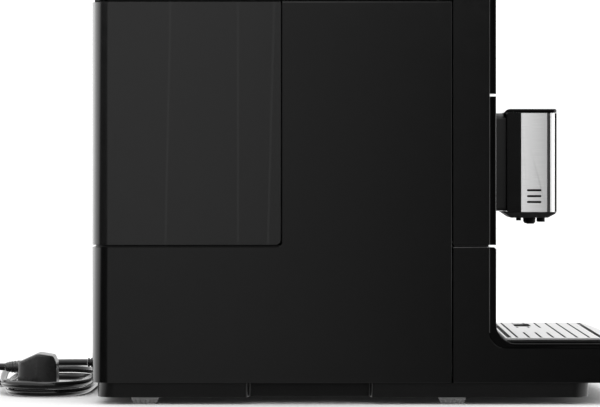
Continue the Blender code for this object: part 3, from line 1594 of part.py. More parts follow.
def make_pan(drawer_carrier):
    half = right_x - pan_side_inset
    front = tray_side_front_y + drawer_wall + sliding_gap
    rear = partition_y - pan_to_partition
    low = pan_bottom
    pan = piece("tray_pan", box((-half, front, low), (half, rear, low + pan_height)),
                finish("pan_grey", (0.08, 0.08, 0.08), 0.5), drawer_carrier)
    wall = pan_wall
    edges = [-half, -pan_rib_x, pan_rib_x, half]
    hollows = [box((left + wall, front + wall, low + wall),
                   (right - wall, rear - wall, low + pan_height + overrun))
               for left, right in zip(edges, edges[1:])]
    cut(pan, *hollows)


def grounds_ring(inset, lift, level):
    """One level of the grounds box: 0 is its sloping foot and 1 its open top."""
    slope = grounds_height / 6 * (1 - level)
    half = grounds_width / 2 - slope / 3 - inset
    front = door_front_y + drawer_wall + sliding_gap + inset
    rear = partition_y - grounds_to_partition - slope - inset
    height = pan_bottom + pan_height + fit_gap + grounds_height * level + lift
    return [Vector((-half, front, height)), Vector((half, front, height)),
            Vector((half, rear, height)), Vector((-half, rear, height))]


def make_grounds_box(drawer_carrier):
    box_shape = loft([grounds_ring(0, 0, 0), grounds_ring(0, 0, 1)])
    grounds = piece("grounds_container", box_shape,
                    finish("grounds_black", (0.05, 0.05, 0.05), 0.55), drawer_carrier)
    wall = grounds_wall
    cut(grounds, loft([grounds_ring(wall, wall, 0), grounds_ring(wall, overrun, 1)]))


def make_insert(drawer_carrier):
    low = tray_rim_height + rim_thickness + fit_gap
    top = low + insert_flange
    rear = fascia_front_y - fascia_front_curve - fit_gap
    wall = insert_wall
    flange = prism(field_outline(insert_flange_inset, curve_reach(low)), "Z", low, top)
    insert = piece("drip_insert", flange, finish("insert_black", (0.03, 0.03, 0.03), 0.6),
                   drawer_carrier)
    skirt = field_outline(insert_skirt_inset, rear)
    add(insert, prism(skirt, "Z", low - insert_skirt_height, low + insert_flange / 2))
    inside = field_outline(insert_skirt_inset + wall, rear - wall)
    cut(insert, prism(inside, "Z", low - insert_skirt_height - overrun, top + overrun))
    half = right_x - plate_side_inset
    front = tray_side_front_y + plate_front_inset
    bars = [box((x - wall / 2, front, low - insert_skirt_height / 2),
                (x + wall / 2, rear - wall / 2, top - fit_gap))
            for x in (-half * insert_bar_share, half * insert_bar_share)]
    add(insert, *bars)


def free_stretches(y, half, hole, rear):
    """The parts of a slot at y that avoid the finger hole and the bare field."""
    blocked = []
    if abs(y - hole.y) < finger_hole_length / 2 + slot_width:
        reach = finger_hole_width / 2 + slot_width
        blocked.append((hole.x - reach, hole.x + reach))
    if abs(y - rear + bare_field_to_edge) < bare_field_length / 2:
        blocked.append((-bare_field_width / 2, bare_field_width / 2))
    stretches = [(-half, half)]
    for low, high in blocked:
        split = []
        for start, end in stretches:
            if low > start:
                split.append((start, min(low, end)))
            if high < end:
                split.append((max(high, start), end))
        stretches = split
    return stretches


def make_drip_plate(plate_carrier):
    low = tray_rim_height + rim_thickness + 2 * fit_gap + insert_flange
    high = low + plate_thickness
    rear = curve_reach(low)
    plate = piece("drip_plate", prism(field_outline(0, rear), "Z", low, high),
                  finish("brushed_steel", (0.55, 0.55, 0.55), 0.35, 1.0), plate_carrier)
    edge = right_x - plate_side_inset
    half = edge - slot_end_inset
    wide = wide_slot_width / 2
    thin = slot_width / 2
    hole = Vector((edge - finger_hole_side_inset - finger_hole_width / 2,
                   rear - finger_hole_to_edge))
    rear_slot = rear - first_slot_to_edge
    first = rear_slot - wide_slot_to_thin
    front_slot = tray_side_front_y + front_slot_inset
    pitch = (first - front_slot) / thin_slots
    shapes = [box((-half, y - wide, low - overrun), (half, y + wide, high + overrun))
              for y in (rear_slot, front_slot)]
    for row in range(thin_slots):
        y = first - pitch * row
        shapes += [box((start, y - thin, low - overrun), (end, y + thin, high + overrun))
                   for start, end in free_stretches(y, half, hole, rear)]
    opening = rectangle(hole.x - finger_hole_width / 2, hole.y - finger_hole_length / 2,
                        hole.x + finger_hole_width / 2, hole.y + finger_hole_length / 2,
                        finger_hole_radius)
    shapes.append(prism(opening, "Z", low - overrun, high + overrun))
    cut(plate, *shapes)


# The lead, its coil and the plug

def coil_path():
    """The oval coil: it comes down onto its upper layer, winds inwards there and outwards below."""
    steps = round(coil_sweep_degrees / 360 * coil_points_per_turn)
    top = coil_floor_height + coil_layer
    half_sweep = coil_sweep_degrees / 2
    points = []
    for i in range(steps + 1):
        swept = coil_sweep_degrees * i / steps
        phase = math.radians(coil_start_degrees + swept)
        inset = coil_pitch * (half_sweep - abs(swept - half_sweep)) / 360
        climb = min(max((swept - half_sweep) / 180 + 1 / 2, 0), 1)
        lift = coil_lift * (1 - eased(swept / coil_arrive_degrees))
        along = (coil_half_length - inset) * math.cos(phase)
        across = (coil_half_width - inset) * math.sin(phase)
        points.append(Vector((
            coil_centre_x + along - coil_length_trim * math.cos(3 * phase),
            coil_centre_y + across + coil_width_trim * math.sin(3 * phase),
            top - coil_layer * climb + lift)))
    return ([points[0] + way_out(points[0], points[1], points[2]) * cord_diameter] + points
            + [points[-1] + way_out(points[-1], points[-2], points[-3]) * cord_diameter])


def eased(share):
    """A share from 0 to 1 that starts and ends slowly."""
    held = min(max(share, 0), 1)
    return held * held * (3 - 2 * held)


def way_out(end, second, third):
    """The direction in which a bent run of points leaves its end."""
    return (3 * (end - second) - (second - third)).normalized()


def least_self_gap(points):
    """The least space between strands of the coil that aren't neighbours along it."""
    least = machine_width
    apart = coil_points_per_turn // 3
    for i in range(len(points)):
        for j in range(i + apart, len(points)):
            least = min(least, (points[i] - points[j]).length - cord_diameter)
    return least


def smooth_course(knots, spacing):
    """Points at even spacing on a smooth curve through the knots."""
    ends = [2 * knots[0] - knots[1]] + knots + [2 * knots[-1] - knots[-2]]
    fine = []
    for a, b, c, d in zip(ends, ends[1:], ends[2:], ends[3:]):
        for i in range(16):
            t = i / 16
            fine.append(0.5 * (2 * b + (c - a) * t + (2 * a - 5 * b + 4 * c - d) * t ** 2
                               + (3 * b - a - 3 * c + d) * t ** 3))
    fine.append(knots[-1])
    points = [fine[0]]
    run = 0
    for before, after in zip(fine, fine[1:]):
        run += (after - before).length
        if run >= spacing:
            points.append(after)
            run = 0
    points[-1] = fine[-1]
    return points


def lead_knots(coil):
    """Hand-chosen places of the lead between the strain relief and the coil."""
    start = Vector((exit_x, rear_y + relief_length + fit_gap, exit_height))
    end_way = (coil[1] - coil[0]).normalized()
    end = coil[0] - end_way * fit_gap
    straight = Vector((0, cord_diameter, 0))
    before = end - end_way * cord_diameter
    reach = (before - start - straight).length * lead_reach_share
    course = bezier(start + straight, start + straight + Vector((0, reach, 0)),
                    before - end_way * reach, before, 8)
    return [start] + course + [end]


def tail_knots(coil):
    """Hand-chosen places of the lead between the coil and the plug."""
    end_way = (coil[-1] - coil[-2]).normalized()
    start = coil[-1] + end_way * fit_gap
    neck = Vector((plug_x, plug_y + plug_depth / 2 + plug_neck_length + fit_gap,
                   plug_neck_height))
    knots = [start, start + end_way * cord_diameter]
    turn_x = neck.x + tail_bend
    turn_y = neck.y + cord_diameter + tail_bend
    one = Vector((knots[1].x, knots[1].y, 0))
    two = Vector((turn_x, turn_y, 0))
    reach = (two - one).length * lead_reach_share
    flat = bezier(one, one + end_way * reach, two + Vector((reach, 0, 0)), two, 8)[1:]
    for i in range(1, 9):
        turn = math.pi / 2 * i / 8
        flat.append(Vector((turn_x - tail_bend * math.sin(turn),
                            turn_y - tail_bend + tail_bend * math.cos(turn), 0)))
    whole = 0
    runs = []
    for before, after in zip([one] + flat, flat):
        whole += (after - before).length
        runs.append(whole)
    for run, place in zip(runs, flat):
        rise = eased((run / whole - tail_lead_in_share) / tail_rise_share)
        knots.append(place + Vector((0, 0, start.z + (neck.z - start.z) * rise)))
    knots.append(neck)
    return knots


def make_relief():
    base = Vector((exit_x, rear_y - casing_wall, exit_height))
    start = casing_wall
    drop = (relief_root_radius - relief_tip_radius) / relief_ribs
    pitch = relief_length / relief_ribs
    profile = [(relief_root_radius, 0), (relief_root_radius, start)]
    for i in range(relief_ribs):
        radius = relief_root_radius - drop * i
        low = start + pitch * i
        profile += [(radius, low + pitch * 0.6), (radius - drop * 1.2, low + pitch * 0.7)]
        profile += [(radius - drop * 1.2, low + pitch * 0.9)]
        profile += [(radius - drop, low + pitch)]
    piece("strain_relief", turned(profile, base, "Y", 16),
          finish("cord_rubber", (0.02, 0.02, 0.02), 0.55))


def make_cords():
    rubber = finish("cord_rubber", (0.02, 0.02, 0.02), 0.55)
    radius = cord_diameter / 2
    coil = coil_path()
    lead = smooth_course(lead_knots(coil), lead_step)
    tail = smooth_course(tail_knots(coil), lead_step)
    tube("mains_lead", lead, radius, rubber, 2)
    tube("lead_coil", coil, radius, rubber, 1)
    tube("plug_lead", tail, radius, rubber, 2)
    print("least gap inside the coil", round(least_self_gap(coil) * 1000, 2), "mm")


def make_plug():
    half = plug_depth / 2
    near = plug_x - plug_length / 2
    far = near + plug_length
    outline = [(plug_y + half * u, plug_height * v) for u, v in plug_outline_shares]
    plug = piece("mains_plug", prism(outline, "X", near, far),
                 finish("plug_rubber", (0.022, 0.022, 0.022), 0.5))
    plan = [(far, plug_y + half + overrun), (far, plug_y - half - overrun)]
    for i in range(9):
        share = i / 4 - 1
        plan.append((near + plug_bulge * share * share, plug_y + (half + overrun / 4) * share))
    keep(plug, prism(plan, "Z", -overrun, plug_height + overrun))
    neck = Vector((plug_x, plug_y + half / 2, plug_neck_height))
    root = half / 2
    add(plug, turned([(plug_neck_radius, 0), (plug_neck_radius, root + plug_neck_length / 2),
                      (cord_diameter / 2, root + plug_neck_length)], neck, "Y"))
    pins = [rod(plug_pin_radius, Vector((far - plug_bulge, plug_y + side, plug_pin_height)),
                plug_pin_length + plug_bulge, "X")
            for side in (-plug_pin_spacing / 2, plug_pin_spacing / 2)]
    add(plug, *pins)


# The whole machine

make_plinth()
make_feet()
make_side_panels()
make_rear_panel()
make_chassis()
make_tank_bay()
tank_body = carrier("water_tank_body", Vector((tank_lid_axis.x, tank_seam_y + tank_length / 2,
                                               tank_bottom)))
make_tank(tank_body)
make_tank_pin(tank_body)
tank_lid_body = carrier("tank_lid_body", tank_lid_axis)
make_tank_lid(tank_lid_body)
make_top_cover()
make_cup_rest()
make_hopper()
make_hopper_pin()
hopper_lid_body = carrier("hopper_lid_body", hopper_axis)
make_hopper_lid(hopper_lid_body)
knob_body = carrier("grind_knob_body", knob_axis)
make_knob(knob_body)
burr_body = carrier("cone_burr_body", grinder_axis)
make_grinder(burr_body)
make_brew_frame()
make_brew_cylinder()
piston_body = carrier("brew_piston_body", brew_middle() + Vector((0, 0, brew_cylinder_base)))
make_piston(piston_body)
spindle_body = carrier("brew_spindle_body", spindle_axis)
make_spindle(spindle_body)
make_boiler()
make_pump()
make_hose()
make_board()
door_body = carrier("front_door_body", door_axis)
make_door(door_body)
make_fascias(door_body)
make_hinges()
button_body = carrier("power_button_body", button_axis)
make_button(button_body)
spout_body = carrier("spout_body_carrier", Vector((0, fascia_front_y, slider_base)))
make_spout(spout_body)
drawer_body = carrier("drip_drawer_body", Vector((0, drawer_rear_y, body_bottom)))
make_drawer(drawer_body)
make_lower_fascia(drawer_body)
make_pan(drawer_body)
make_grounds_box(drawer_body)
make_insert(drawer_body)
plate_body = carrier("drip_plate_body", Vector((0, plate_rear_y, tray_rim_height)))
make_drip_plate(plate_body)
make_relief()
make_cords()
make_plug()
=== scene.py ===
import math

import bmesh
import bpy
import numpy as np
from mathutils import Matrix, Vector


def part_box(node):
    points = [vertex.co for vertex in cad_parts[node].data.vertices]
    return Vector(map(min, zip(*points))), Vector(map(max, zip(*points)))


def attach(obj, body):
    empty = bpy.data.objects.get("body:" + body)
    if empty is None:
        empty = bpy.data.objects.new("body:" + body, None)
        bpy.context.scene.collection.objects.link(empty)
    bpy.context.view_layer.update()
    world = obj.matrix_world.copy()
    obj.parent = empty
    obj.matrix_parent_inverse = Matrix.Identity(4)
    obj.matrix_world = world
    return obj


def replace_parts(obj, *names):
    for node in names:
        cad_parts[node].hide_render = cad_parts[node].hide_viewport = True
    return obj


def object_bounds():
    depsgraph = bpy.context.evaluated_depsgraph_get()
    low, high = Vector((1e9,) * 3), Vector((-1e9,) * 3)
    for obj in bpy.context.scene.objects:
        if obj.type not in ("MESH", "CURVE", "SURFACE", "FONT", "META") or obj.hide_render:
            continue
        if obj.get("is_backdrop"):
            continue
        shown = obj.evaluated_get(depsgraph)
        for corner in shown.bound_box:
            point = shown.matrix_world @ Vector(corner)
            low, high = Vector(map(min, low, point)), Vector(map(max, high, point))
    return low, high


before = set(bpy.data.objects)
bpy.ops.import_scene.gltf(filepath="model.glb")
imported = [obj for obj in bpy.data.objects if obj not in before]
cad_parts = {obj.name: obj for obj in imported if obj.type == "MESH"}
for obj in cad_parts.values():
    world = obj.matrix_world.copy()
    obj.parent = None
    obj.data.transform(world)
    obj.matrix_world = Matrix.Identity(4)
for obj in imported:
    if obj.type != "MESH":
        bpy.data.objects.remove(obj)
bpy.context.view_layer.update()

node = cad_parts

# The studio. A white floor under soft light, seen by a long lens that stands level with the
# middle of the machine's tall side and looks straight across it. The room behind the camera
# is dim, so the black panels that face it stay black, and the backdrop is white.
half_width = 0.1255
lens_distance = 2.176
lens_height = 0.192
lens_along = 0.0303
photo_width = 600
focal_pixels = 2720
sensor = 36.0
centre_off = (-20 / photo_width, -38.5 / photo_width)

lens = bpy.data.cameras.new("side_camera")
lens.sensor_width = sensor
lens.lens = sensor * focal_pixels / photo_width
lens.shift_x, lens.shift_y = centre_off
lens.clip_end = 30
camera = bpy.data.objects.new("side_camera", lens)
camera.location = (-half_width - lens_distance, lens_along, lens_height)
camera.rotation_euler = (math.radians(90), 0, math.radians(-90))
bpy.context.scene.collection.objects.link(camera)
bpy.context.scene.camera = camera
bpy.context.scene.view_settings.view_transform = "Standard"


def skin(grid, around=False, along=False, caps=False):
    """Points and faces over an (n, m, 3) grid. Row i and column j give point i * m + j, and
    each quad joins (i, j), (i, j+1), (i+1, j+1), (i+1, j). around closes the columns, along
    the rows, and caps fills the first and last row."""
    grid = np.asarray(grid, dtype=float)
    rows, columns = grid.shape[:2]
    index = np.arange(rows * columns).reshape(rows, columns)
    if around:
        index = np.concatenate([index, index[:, :1]], axis=1)
    if along:
        index = np.concatenate([index, index[:1]], axis=0)
    quads = np.stack([index[:-1, :-1], index[:-1, 1:], index[1:, 1:], index[1:, :-1]], axis=-1)
    faces = quads.reshape(-1, 4).tolist()
    if caps:
        faces += [index[0, :columns][::-1].tolist(), index[-1, :columns].tolist()]
    return grid.reshape(-1, 3), faces


def shown(name, skins, smooth=30):
    """One object out of several skins: their points one after another, points that meet
    merged, every face turned outwards, and smooth except over edges sharper than the angle."""
    first = np.cumsum([0] + [len(points) for points, faces in skins])
    faces = [[start + corner for corner in face]
             for start, (points, some) in zip(first.tolist(), skins) for face in some]
    mesh = bpy.data.meshes.new(name)
    mesh.from_pydata(np.concatenate([points for points, some in skins]), [], faces)
    shape = bmesh.new()
    shape.from_mesh(mesh)
    bmesh.ops.remove_doubles(shape, verts=shape.verts, dist=0.000004)
    bmesh.ops.recalc_face_normals(shape, faces=shape.faces)
    shape.to_mesh(mesh)
    shape.free()
    mesh.shade_smooth()
    mesh.set_sharp_from_angle(angle=math.radians(smooth))
    shown_piece = bpy.data.objects.new(name, mesh)
    bpy.context.scene.collection.objects.link(shown_piece)
    return shown_piece


def wired(tree, kind, inputs):
    """A new node in a tree. Each input named here gets its value, or is joined to the other
    node's output that stands for it."""
    made = tree.nodes.new(kind)
    for socket, value in inputs.items():
        if isinstance(value, bpy.types.NodeSocket):
            tree.links.new(value, made.inputs[socket])
        else:
            made.inputs[socket].default_value = value
    return made


class Finish:
    """A material under way: nodes are added one after another and joined by name."""

    def __init__(self, name, roughness, metallic=0.0, specular=0.5):
        self.material = bpy.data.materials.new(name)
        self.material.use_nodes = True
        self.tree = self.material.node_tree
        self.shader = self.tree.nodes["Principled BSDF"]
        self.set("Roughness", roughness)
        self.set("Metallic", metallic)
        self.set("Specular IOR Level", specular)
        self.place = self.tree.nodes.new("ShaderNodeTexCoord").outputs["Object"]

    def set(self, socket, value):
        """A value that is the same all over."""
        self.shader.inputs[socket].default_value = value
        return self

    def noise(self, size, stretch=(1, 1, 1), detail=4.0):
        """Noise whose features are size metres across, drawn out by stretch."""
        scale = [1 / (size * s) for s in stretch]
        mapping = wired(self.tree, "ShaderNodeMapping", {"Vector": self.place, "Scale": scale})
        return wired(self.tree, "ShaderNodeTexNoise",
                     {"Vector": mapping.outputs["Vector"], "Scale": 1.0,
                      "Detail": detail}).outputs["Fac"]

    def between(self, factor, low, high, start=0.3, end=0.7):
        """A value that goes from low to high as factor goes from start to end."""
        return wired(self.tree, "ShaderNodeMapRange",
                     {"Value": factor, "From Min": start, "From Max": end, "To Min": low,
                      "To Max": high}).outputs["Result"]

    def colours(self, factor, dark, light, start=0.3, end=0.7):
        """The base colour, from dark to light with factor. A plain number is a grey."""
        ramp = wired(self.tree, "ShaderNodeValToRGB", {"Fac": factor})
        for element, position, tone in zip(ramp.color_ramp.elements, (start, end), (dark, light)):
            element.position = position
            element.color = (*(tone if isinstance(tone, tuple) else (tone,) * 3), 1)
        self.tree.links.new(ramp.outputs["Color"], self.shader.inputs["Base Color"])
        return self

    def rough(self, factor, low, high):
        """Roughness that wanders with factor."""
        self.tree.links.new(self.between(factor, low, high), self.shader.inputs["Roughness"])
        return self

    def bumps(self, factor, height):
        """Relief of that height in metres from factor."""
        bump = wired(self.tree, "ShaderNodeBump", {"Distance": height, "Height": factor})
        self.tree.links.new(bump.outputs["Normal"], self.shader.inputs["Normal"])
        return self


def wear(worn, finish):
    """The piece gets this finish as its only material."""
    worn.data.materials.clear()
    worn.data.materials.append(finish.material)
    return worn


half_floor = 6.0
floor = shown("studio_floor", [skin([[(-half_floor, -half_floor, 0), (half_floor, -half_floor, 0)],
                                     [(-half_floor, half_floor, 0), (half_floor, half_floor, 0)]])])
floor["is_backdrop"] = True
pale = Finish("studio_floor_paint", 0.9, specular=0.0)
wear(floor, pale.colours(pale.noise(0.5), 0.93, 0.95))
# In the floor's place, glossy surfaces mirror the room below the horizon.
floor.visible_glossy = False

world = bpy.data.worlds.new("studio_room")
bpy.context.scene.world = world
world.use_nodes = True
room = world.node_tree
room.nodes["Background"].inputs["Color"].default_value = (1, 1, 1, 1)
ways = room.nodes.new("ShaderNodeTexCoord").outputs["Generated"]
split = wired(room, "ShaderNodeSeparateXYZ", {"Vector": ways})


def maths(tree, operation, first, second=0.0, held=False):
    """The outcome of a sum on two values in a node tree, either of which may be a number. held
    keeps it between 0 and 1."""
    made = wired(tree, "ShaderNodeMath", {0: first, 1: second})
    made.operation = operation
    made.use_clamp = held
    return made.outputs[0]


def mixed(first, second, share):
    """In the world, the first value where the share is 0 and the second where it is 1."""
    step = maths(room, "MULTIPLY", maths(room, "SUBTRACT", second, first), share)
    return maths(room, "ADD", first, step)


# How bright the room is by its bearing in degrees: 0 is behind the camera, 90 behind the
# machine's rear, -90 before its front and 180 the white backdrop.
bearings = ((-180, 1.2), (-105, 2.4), (-80, 2.8), (-60, 1.6), (-40, 0.2), (-20, 0.05), (-7, 0.02),
            (-5, 0.03), (-2.7, 0.14), (0, 0.35), (2.5, 0.47), (5, 0.54), (9, 0.40), (16, 0.05),
            (54, 0.02), (61, 0.15), (70, 1.5), (86, 2.6), (105, 3.6), (128, 4.0), (150, 2.0),
            (180, 1.2))
brightest = 4.0
white = 1.15
bearing = maths(room, "ARCTAN2", split.outputs["Y"],
                maths(room, "MULTIPLY", split.outputs["X"], -1.0))
part_turn = maths(room, "ADD", maths(room, "DIVIDE", bearing, math.tau), 0.5)
dial = wired(room, "ShaderNodeValToRGB", {"Fac": part_turn})
stops = dial.color_ramp.elements
for degrees, _ in bearings[1:-1]:
    stops.new((degrees + 180) / 360)
for stop, (degrees, strength) in zip(stops, bearings):
    stop.position = (degrees + 180) / 360
    stop.color = (strength / brightest,) * 3 + (1,)
# Below the horizon it grows darker. Away from the horizon it turns white upwards, and downwards
# pale behind the machine and dark on the camera's side.
steepness = maths(room, "ABSOLUTE", split.outputs["Z"])
rise = wired(room, "ShaderNodeMapRange", {"Value": steepness, "From Min": 0.11, "From Max": 0.145})
rise.interpolation_type = "SMOOTHSTEP"
sunk = maths(room, "MINIMUM", split.outputs["Z"], 0.0)
below = maths(room, "ADD", maths(room, "MULTIPLY", sunk, 3.0), 1.0)
around = maths(room, "MULTIPLY", maths(room, "MULTIPLY", dial.outputs["Color"], brightest), below)
behind = maths(room, "MULTIPLY", split.outputs["X"], 3.0, held=True)
down = maths(room, "ADD", maths(room, "MULTIPLY", behind, 0.85), 0.15)
far_off = mixed(down, white, maths(room, "GREATER_THAN", split.outputs["Z"], 0.0))
lit = mixed(around, far_off, rise.outputs["Result"])
seen = room.nodes.new("ShaderNodeLightPath").outputs["Is Camera Ray"]
room.links.new(mixed(lit, white, seen), room.nodes["Background"].inputs["Strength"])

# One large square lamp overhead, turned to shine at the origin.
lamp_place = (0.1, -0.2, 2.4)
lamp = bpy.data.lights.new("top_softbox", "AREA")
lamp.shape = "RECTANGLE"
lamp.size = lamp.size_y = 2.0
lamp.energy = 22
softbox = bpy.data.objects.new("top_softbox", lamp)
softbox.location = lamp_place
softbox.rotation_euler = (math.atan2(math.hypot(*lamp_place[:2]), lamp_place[2]), 0,
                          math.atan2(lamp_place[0], -lamp_place[1]))
bpy.context.scene.collection.objects.link(softbox)

# The mains lead. A round black rubber sheath 6 mm thick leaves the back low down and crosses
# to a flat oval coil of two layers behind the machine. From the lower layer it swings out and
# up to the plug's neck. It is one piece of cable from the strain relief to the plug.
lead_thickness = 0.0060
exit_point = np.array((0.0850, 0.2343, 0.0188))
coil_middle = np.array((0.0400, 0.2605))
coil_half = np.array((0.0985, 0.0425))
coil_trim = np.array((-0.0030, 0.0040))
coil_step = 0.0075
coil_layer = 0.0066
coil_low = 0.00315
coil_lift = 0.0068
coil_arrival = math.radians(48)
coil_start = math.radians(88)
coil_sweep = math.radians(1054)
pull_share = 0.46
tail_bend = 0.0262
neck_mouth = np.array((-0.0100, 0.2956, 0.0220))


def eased(share):
    """A share from 0 to 1 that starts and ends slowly: 3 s squared minus 2 s cubed."""
    held = np.clip(share, 0, 1)
    return held * held * (3 - 2 * held)


def coil_line(count):
    """The coil's centre line: an oval a cos p + c cos 3p, b sin p + d sin 3p, whose half
    axes shrink by the step each turn until half way and grow again after it. Its height
    eases down onto the upper layer and drops by a layer within the half turn in the middle."""
    swept = np.linspace(0, coil_sweep, count)
    phase = coil_start + swept
    inset = coil_step * (coil_sweep / 2 - np.abs(swept - coil_sweep / 2)) / math.tau
    climb = np.clip((swept - coil_sweep / 2) / math.pi + 0.5, 0, 1)
    x = coil_middle[0] + (coil_half[0] - inset) * np.cos(phase) + coil_trim[0] * np.cos(3 * phase)
    y = coil_middle[1] + (coil_half[1] - inset) * np.sin(phase) + coil_trim[1] * np.sin(3 * phase)
    z = coil_low + coil_layer * (1 - climb) + coil_lift * (1 - eased(swept / coil_arrival))
    return np.stack([x, y, z], axis=1)


def curve_between(a, b, c, d, count):
    """A cubic through a and d that leaves a towards b and reaches d from c."""
    t = np.linspace(0, 1, count)[:, None]
    return a * (1 - t) ** 3 + 3 * b * t * (1 - t) ** 2 + 3 * c * t * t * (1 - t) + d * t ** 3


coil = coil_line(176)
start_way = (coil[1] - coil[0]) / np.linalg.norm(coil[1] - coil[0])
end_way = (coil[-1] - coil[-2]) / np.linalg.norm(coil[-1] - coil[-2])
away = exit_point + (0, lead_thickness, 0)
joins = coil[0] - start_way * (2 * lead_thickness)
pull = np.linalg.norm(joins - away) * pull_share
first = curve_between(away, away + (0, pull, 0), joins - start_way * pull, joins, 24)
leaves = coil[-1] + end_way * (2 * lead_thickness)
turns = np.array((neck_mouth[0] + tail_bend, neck_mouth[1] + lead_thickness + tail_bend, coil_low))
pull = np.linalg.norm(turns - leaves) * pull_share
run = curve_between(leaves, leaves + end_way * pull, turns + (pull, 0, 0), turns, 20)[1:]
quarter = np.linspace(0, math.pi / 2, 14)[1:]
swing = np.stack([turns[0] - tail_bend * np.sin(quarter),
                  turns[1] - tail_bend * (1 - np.cos(quarter)), 0 * quarter + coil_low], axis=1)
tail = np.concatenate([run, swing])
steps = np.linalg.norm(np.diff(np.concatenate([leaves[None], tail]), axis=0), axis=1)
share = np.cumsum(steps) / steps.sum()
tail[:, 2] += (neck_mouth[2] - coil_low) * eased((share - 0.15) / 0.80)
route = np.concatenate([exit_point[None], first, coil, leaves[None], tail, neck_mouth[None]])
line = bpy.data.curves.new("mains_cable", "CURVE")
line.dimensions = "3D"
line.bevel_depth = lead_thickness / 2
line.bevel_resolution = 5
line.use_fill_caps = True
spline = line.splines.new("POLY")
spline.points.add(len(route) - 1)
spline.points.foreach_set("co", np.concatenate([route, np.ones((len(route), 1))], axis=1).ravel())
cable = bpy.data.objects.new("mains_cable", line)
bpy.context.scene.collection.objects.link(cable)


def moulded(name, colours, roughness, specular, sizes, relief):
    """A finish whose colour, roughness and relief wander, each with noise of its own size: the
    colour and the roughness from the first to the second of their two values."""
    made = Finish(name, roughness[0], specular=specular)
    made.colours(made.noise(sizes[0]), *colours)
    made.rough(made.noise(sizes[1]), *roughness)
    return made.bumps(made.noise(sizes[2]), relief)


sheath = moulded("cable_sheath", (0.003, 0.005), (0.13, 0.20), 0.45, (0.012, 0.004, 0.0012),
                 0.00003)
wear(cable, sheath)
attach(cable, "housing")
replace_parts(cable, "mains_lead", "lead_coil", "plug_lead")


# The plug. A moulded black rubber shell with a rounded back for the thumb stands on the
# floor inside the coil. Two nickel-plated pins point away, and a ribbed neck takes the lead.
def filleted(corners, radius):
    """A closed outline whose corners are cut back by the radius and rounded: each corner is
    the curve a (1-t)^2 + 2 c t (1-t) + b t^2 between the two cut points a and b."""
    c = np.asarray(corners, dtype=float)
    before = np.roll(c, 1, axis=0) - c
    after = np.roll(c, -1, axis=0) - c
    a = c + before / np.linalg.norm(before, axis=1)[:, None] * radius
    b = c + after / np.linalg.norm(after, axis=1)[:, None] * radius
    t = np.linspace(0, 1, 6)[None, :, None]
    curved = a[:, None] * (1 - t) ** 2 + 2 * c[:, None] * t * (1 - t) + b[:, None] * t * t
    return curved.reshape(-1, c.shape[1])


def turned(profile, centre, axis="Z", count=32, ring=False, lobes=0):
    """A profile carried round an axis. Each row (r, h) gives the circle r cos t, r sin t, h. A
    third number k makes it wavy, with r + k cos n t for the radius and n the lobes. A radius of
    zero makes a closed pole, and ring joins the last row to the first."""
    radius, height, *depth = np.asarray(profile, dtype=float).T[:, :, None]
    turn = np.linspace(0, math.tau, count, endpoint=False)
    out = radius + depth[0] * np.cos(lobes * turn) if depth else radius
    across, over = out * np.cos(turn), out * np.sin(turn)
    along = np.repeat(height, count, axis=1)
    order = {"X": (along, across, over), "Y": (across, along, over), "Z": (across, over, along)}
    return skin(np.stack(order[axis], axis=-1) + np.asarray(centre), around=True, along=ring)


def ribs(starts, radii, steps):
    """Profile rows for ribs one after another: each rib's radius and start, plus the same few
    steps (of the radius, of the height) for all."""
    out, along = np.array(steps).T
    rows = np.stack([np.add.outer(radii, out), np.add.outer(starts, along)], axis=-1)
    return rows.reshape(-1, 2).tolist()


def plastic(name, grey, roughness, specular=0.4, grain=0.0008, height=0.000012):
    """Moulded plastic: a colour that hardly varies, roughness in soft patches, fine grain."""
    light = tuple(c * 1.25 for c in grey) if isinstance(grey, tuple) else grey * 1.25
    return moulded(name, (grey, light), (roughness * 0.92, roughness * 1.08), specular,
                   (0.02, 0.008, grain), height)


def metal(name, grey, roughness, brushed=(1, 1, 1), line=0.00018):
    """Metal: fine lines drawn out along the way it was brushed, in colour, gloss and relief."""
    made = Finish(name, roughness, metallic=1.0)
    lines = made.noise(line, brushed, 6.0)
    made.colours(lines, grey * 0.86, grey)
    made.rough(lines, roughness * 0.85, roughness * 1.2)
    return made.bumps(lines, 0.000004)


def fitted(name, finish, body, slot, *skins, smooth=30):
    """A new piece out of skins, in its finish, on its body. The slot is not used."""
    made = wear(shown(name, skins, smooth), finish)
    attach(made, body)
    return made


plug_low, plug_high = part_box("mains_plug")
shell_length = 0.0310
shell_half = 0.0161
shell_middle_y = 0.2677
shell_height = 0.0340
shell_shares = ((-1.0, 0), (1.0, 0), (1.0, 0.774), (-0.04, 1.0), (-0.83, 0.936), (-1.0, 0.750))
back_bulge = 0.0060
outline = filleted([(u * shell_half, v * shell_height) for u, v in shell_shares], 0.0016)
scale = np.array((0, 0.3, 0.6, 0.85, 0.93, 0.965, 0.99, 1, 1, 1, 0.99, 0.96, 0.9, 0.5, 0))[:, None]
reach = np.array((0, 0, 0, 0, 0, 0.0002, 0.0007, 0.0014, 0.0100, shell_length - 0.0010,
                  shell_length - 0.0003) + (shell_length,) * 4)[:, None]
u = outline[:, 0] * scale
v = shell_height / 2 + (outline[:, 1] - shell_height / 2) * scale
bulge = back_bulge * (u / shell_half) ** 2 * (1 - reach / shell_length)
along = plug_low[0] + np.minimum(reach + bulge, shell_length)
shell = skin(np.stack([along, shell_middle_y + u, v], axis=-1), around=True)
plug_black = plastic("plug_plastic", 0.022, 0.28, 0.8, 0.0006, 0.00001)
plug_shell = fitted("plug_shell", plug_black, "housing", "plug_rubber", shell, smooth=24)
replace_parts(plug_shell, "mains_plug")
neck_start = 0.2790
neck_radii = (0.0054, 0.0052, 0.0049, 0.0045, 0.0040)
rib_places = neck_start + np.array((0.0048, 0.0075, 0.0098, 0.0118, 0.0136))
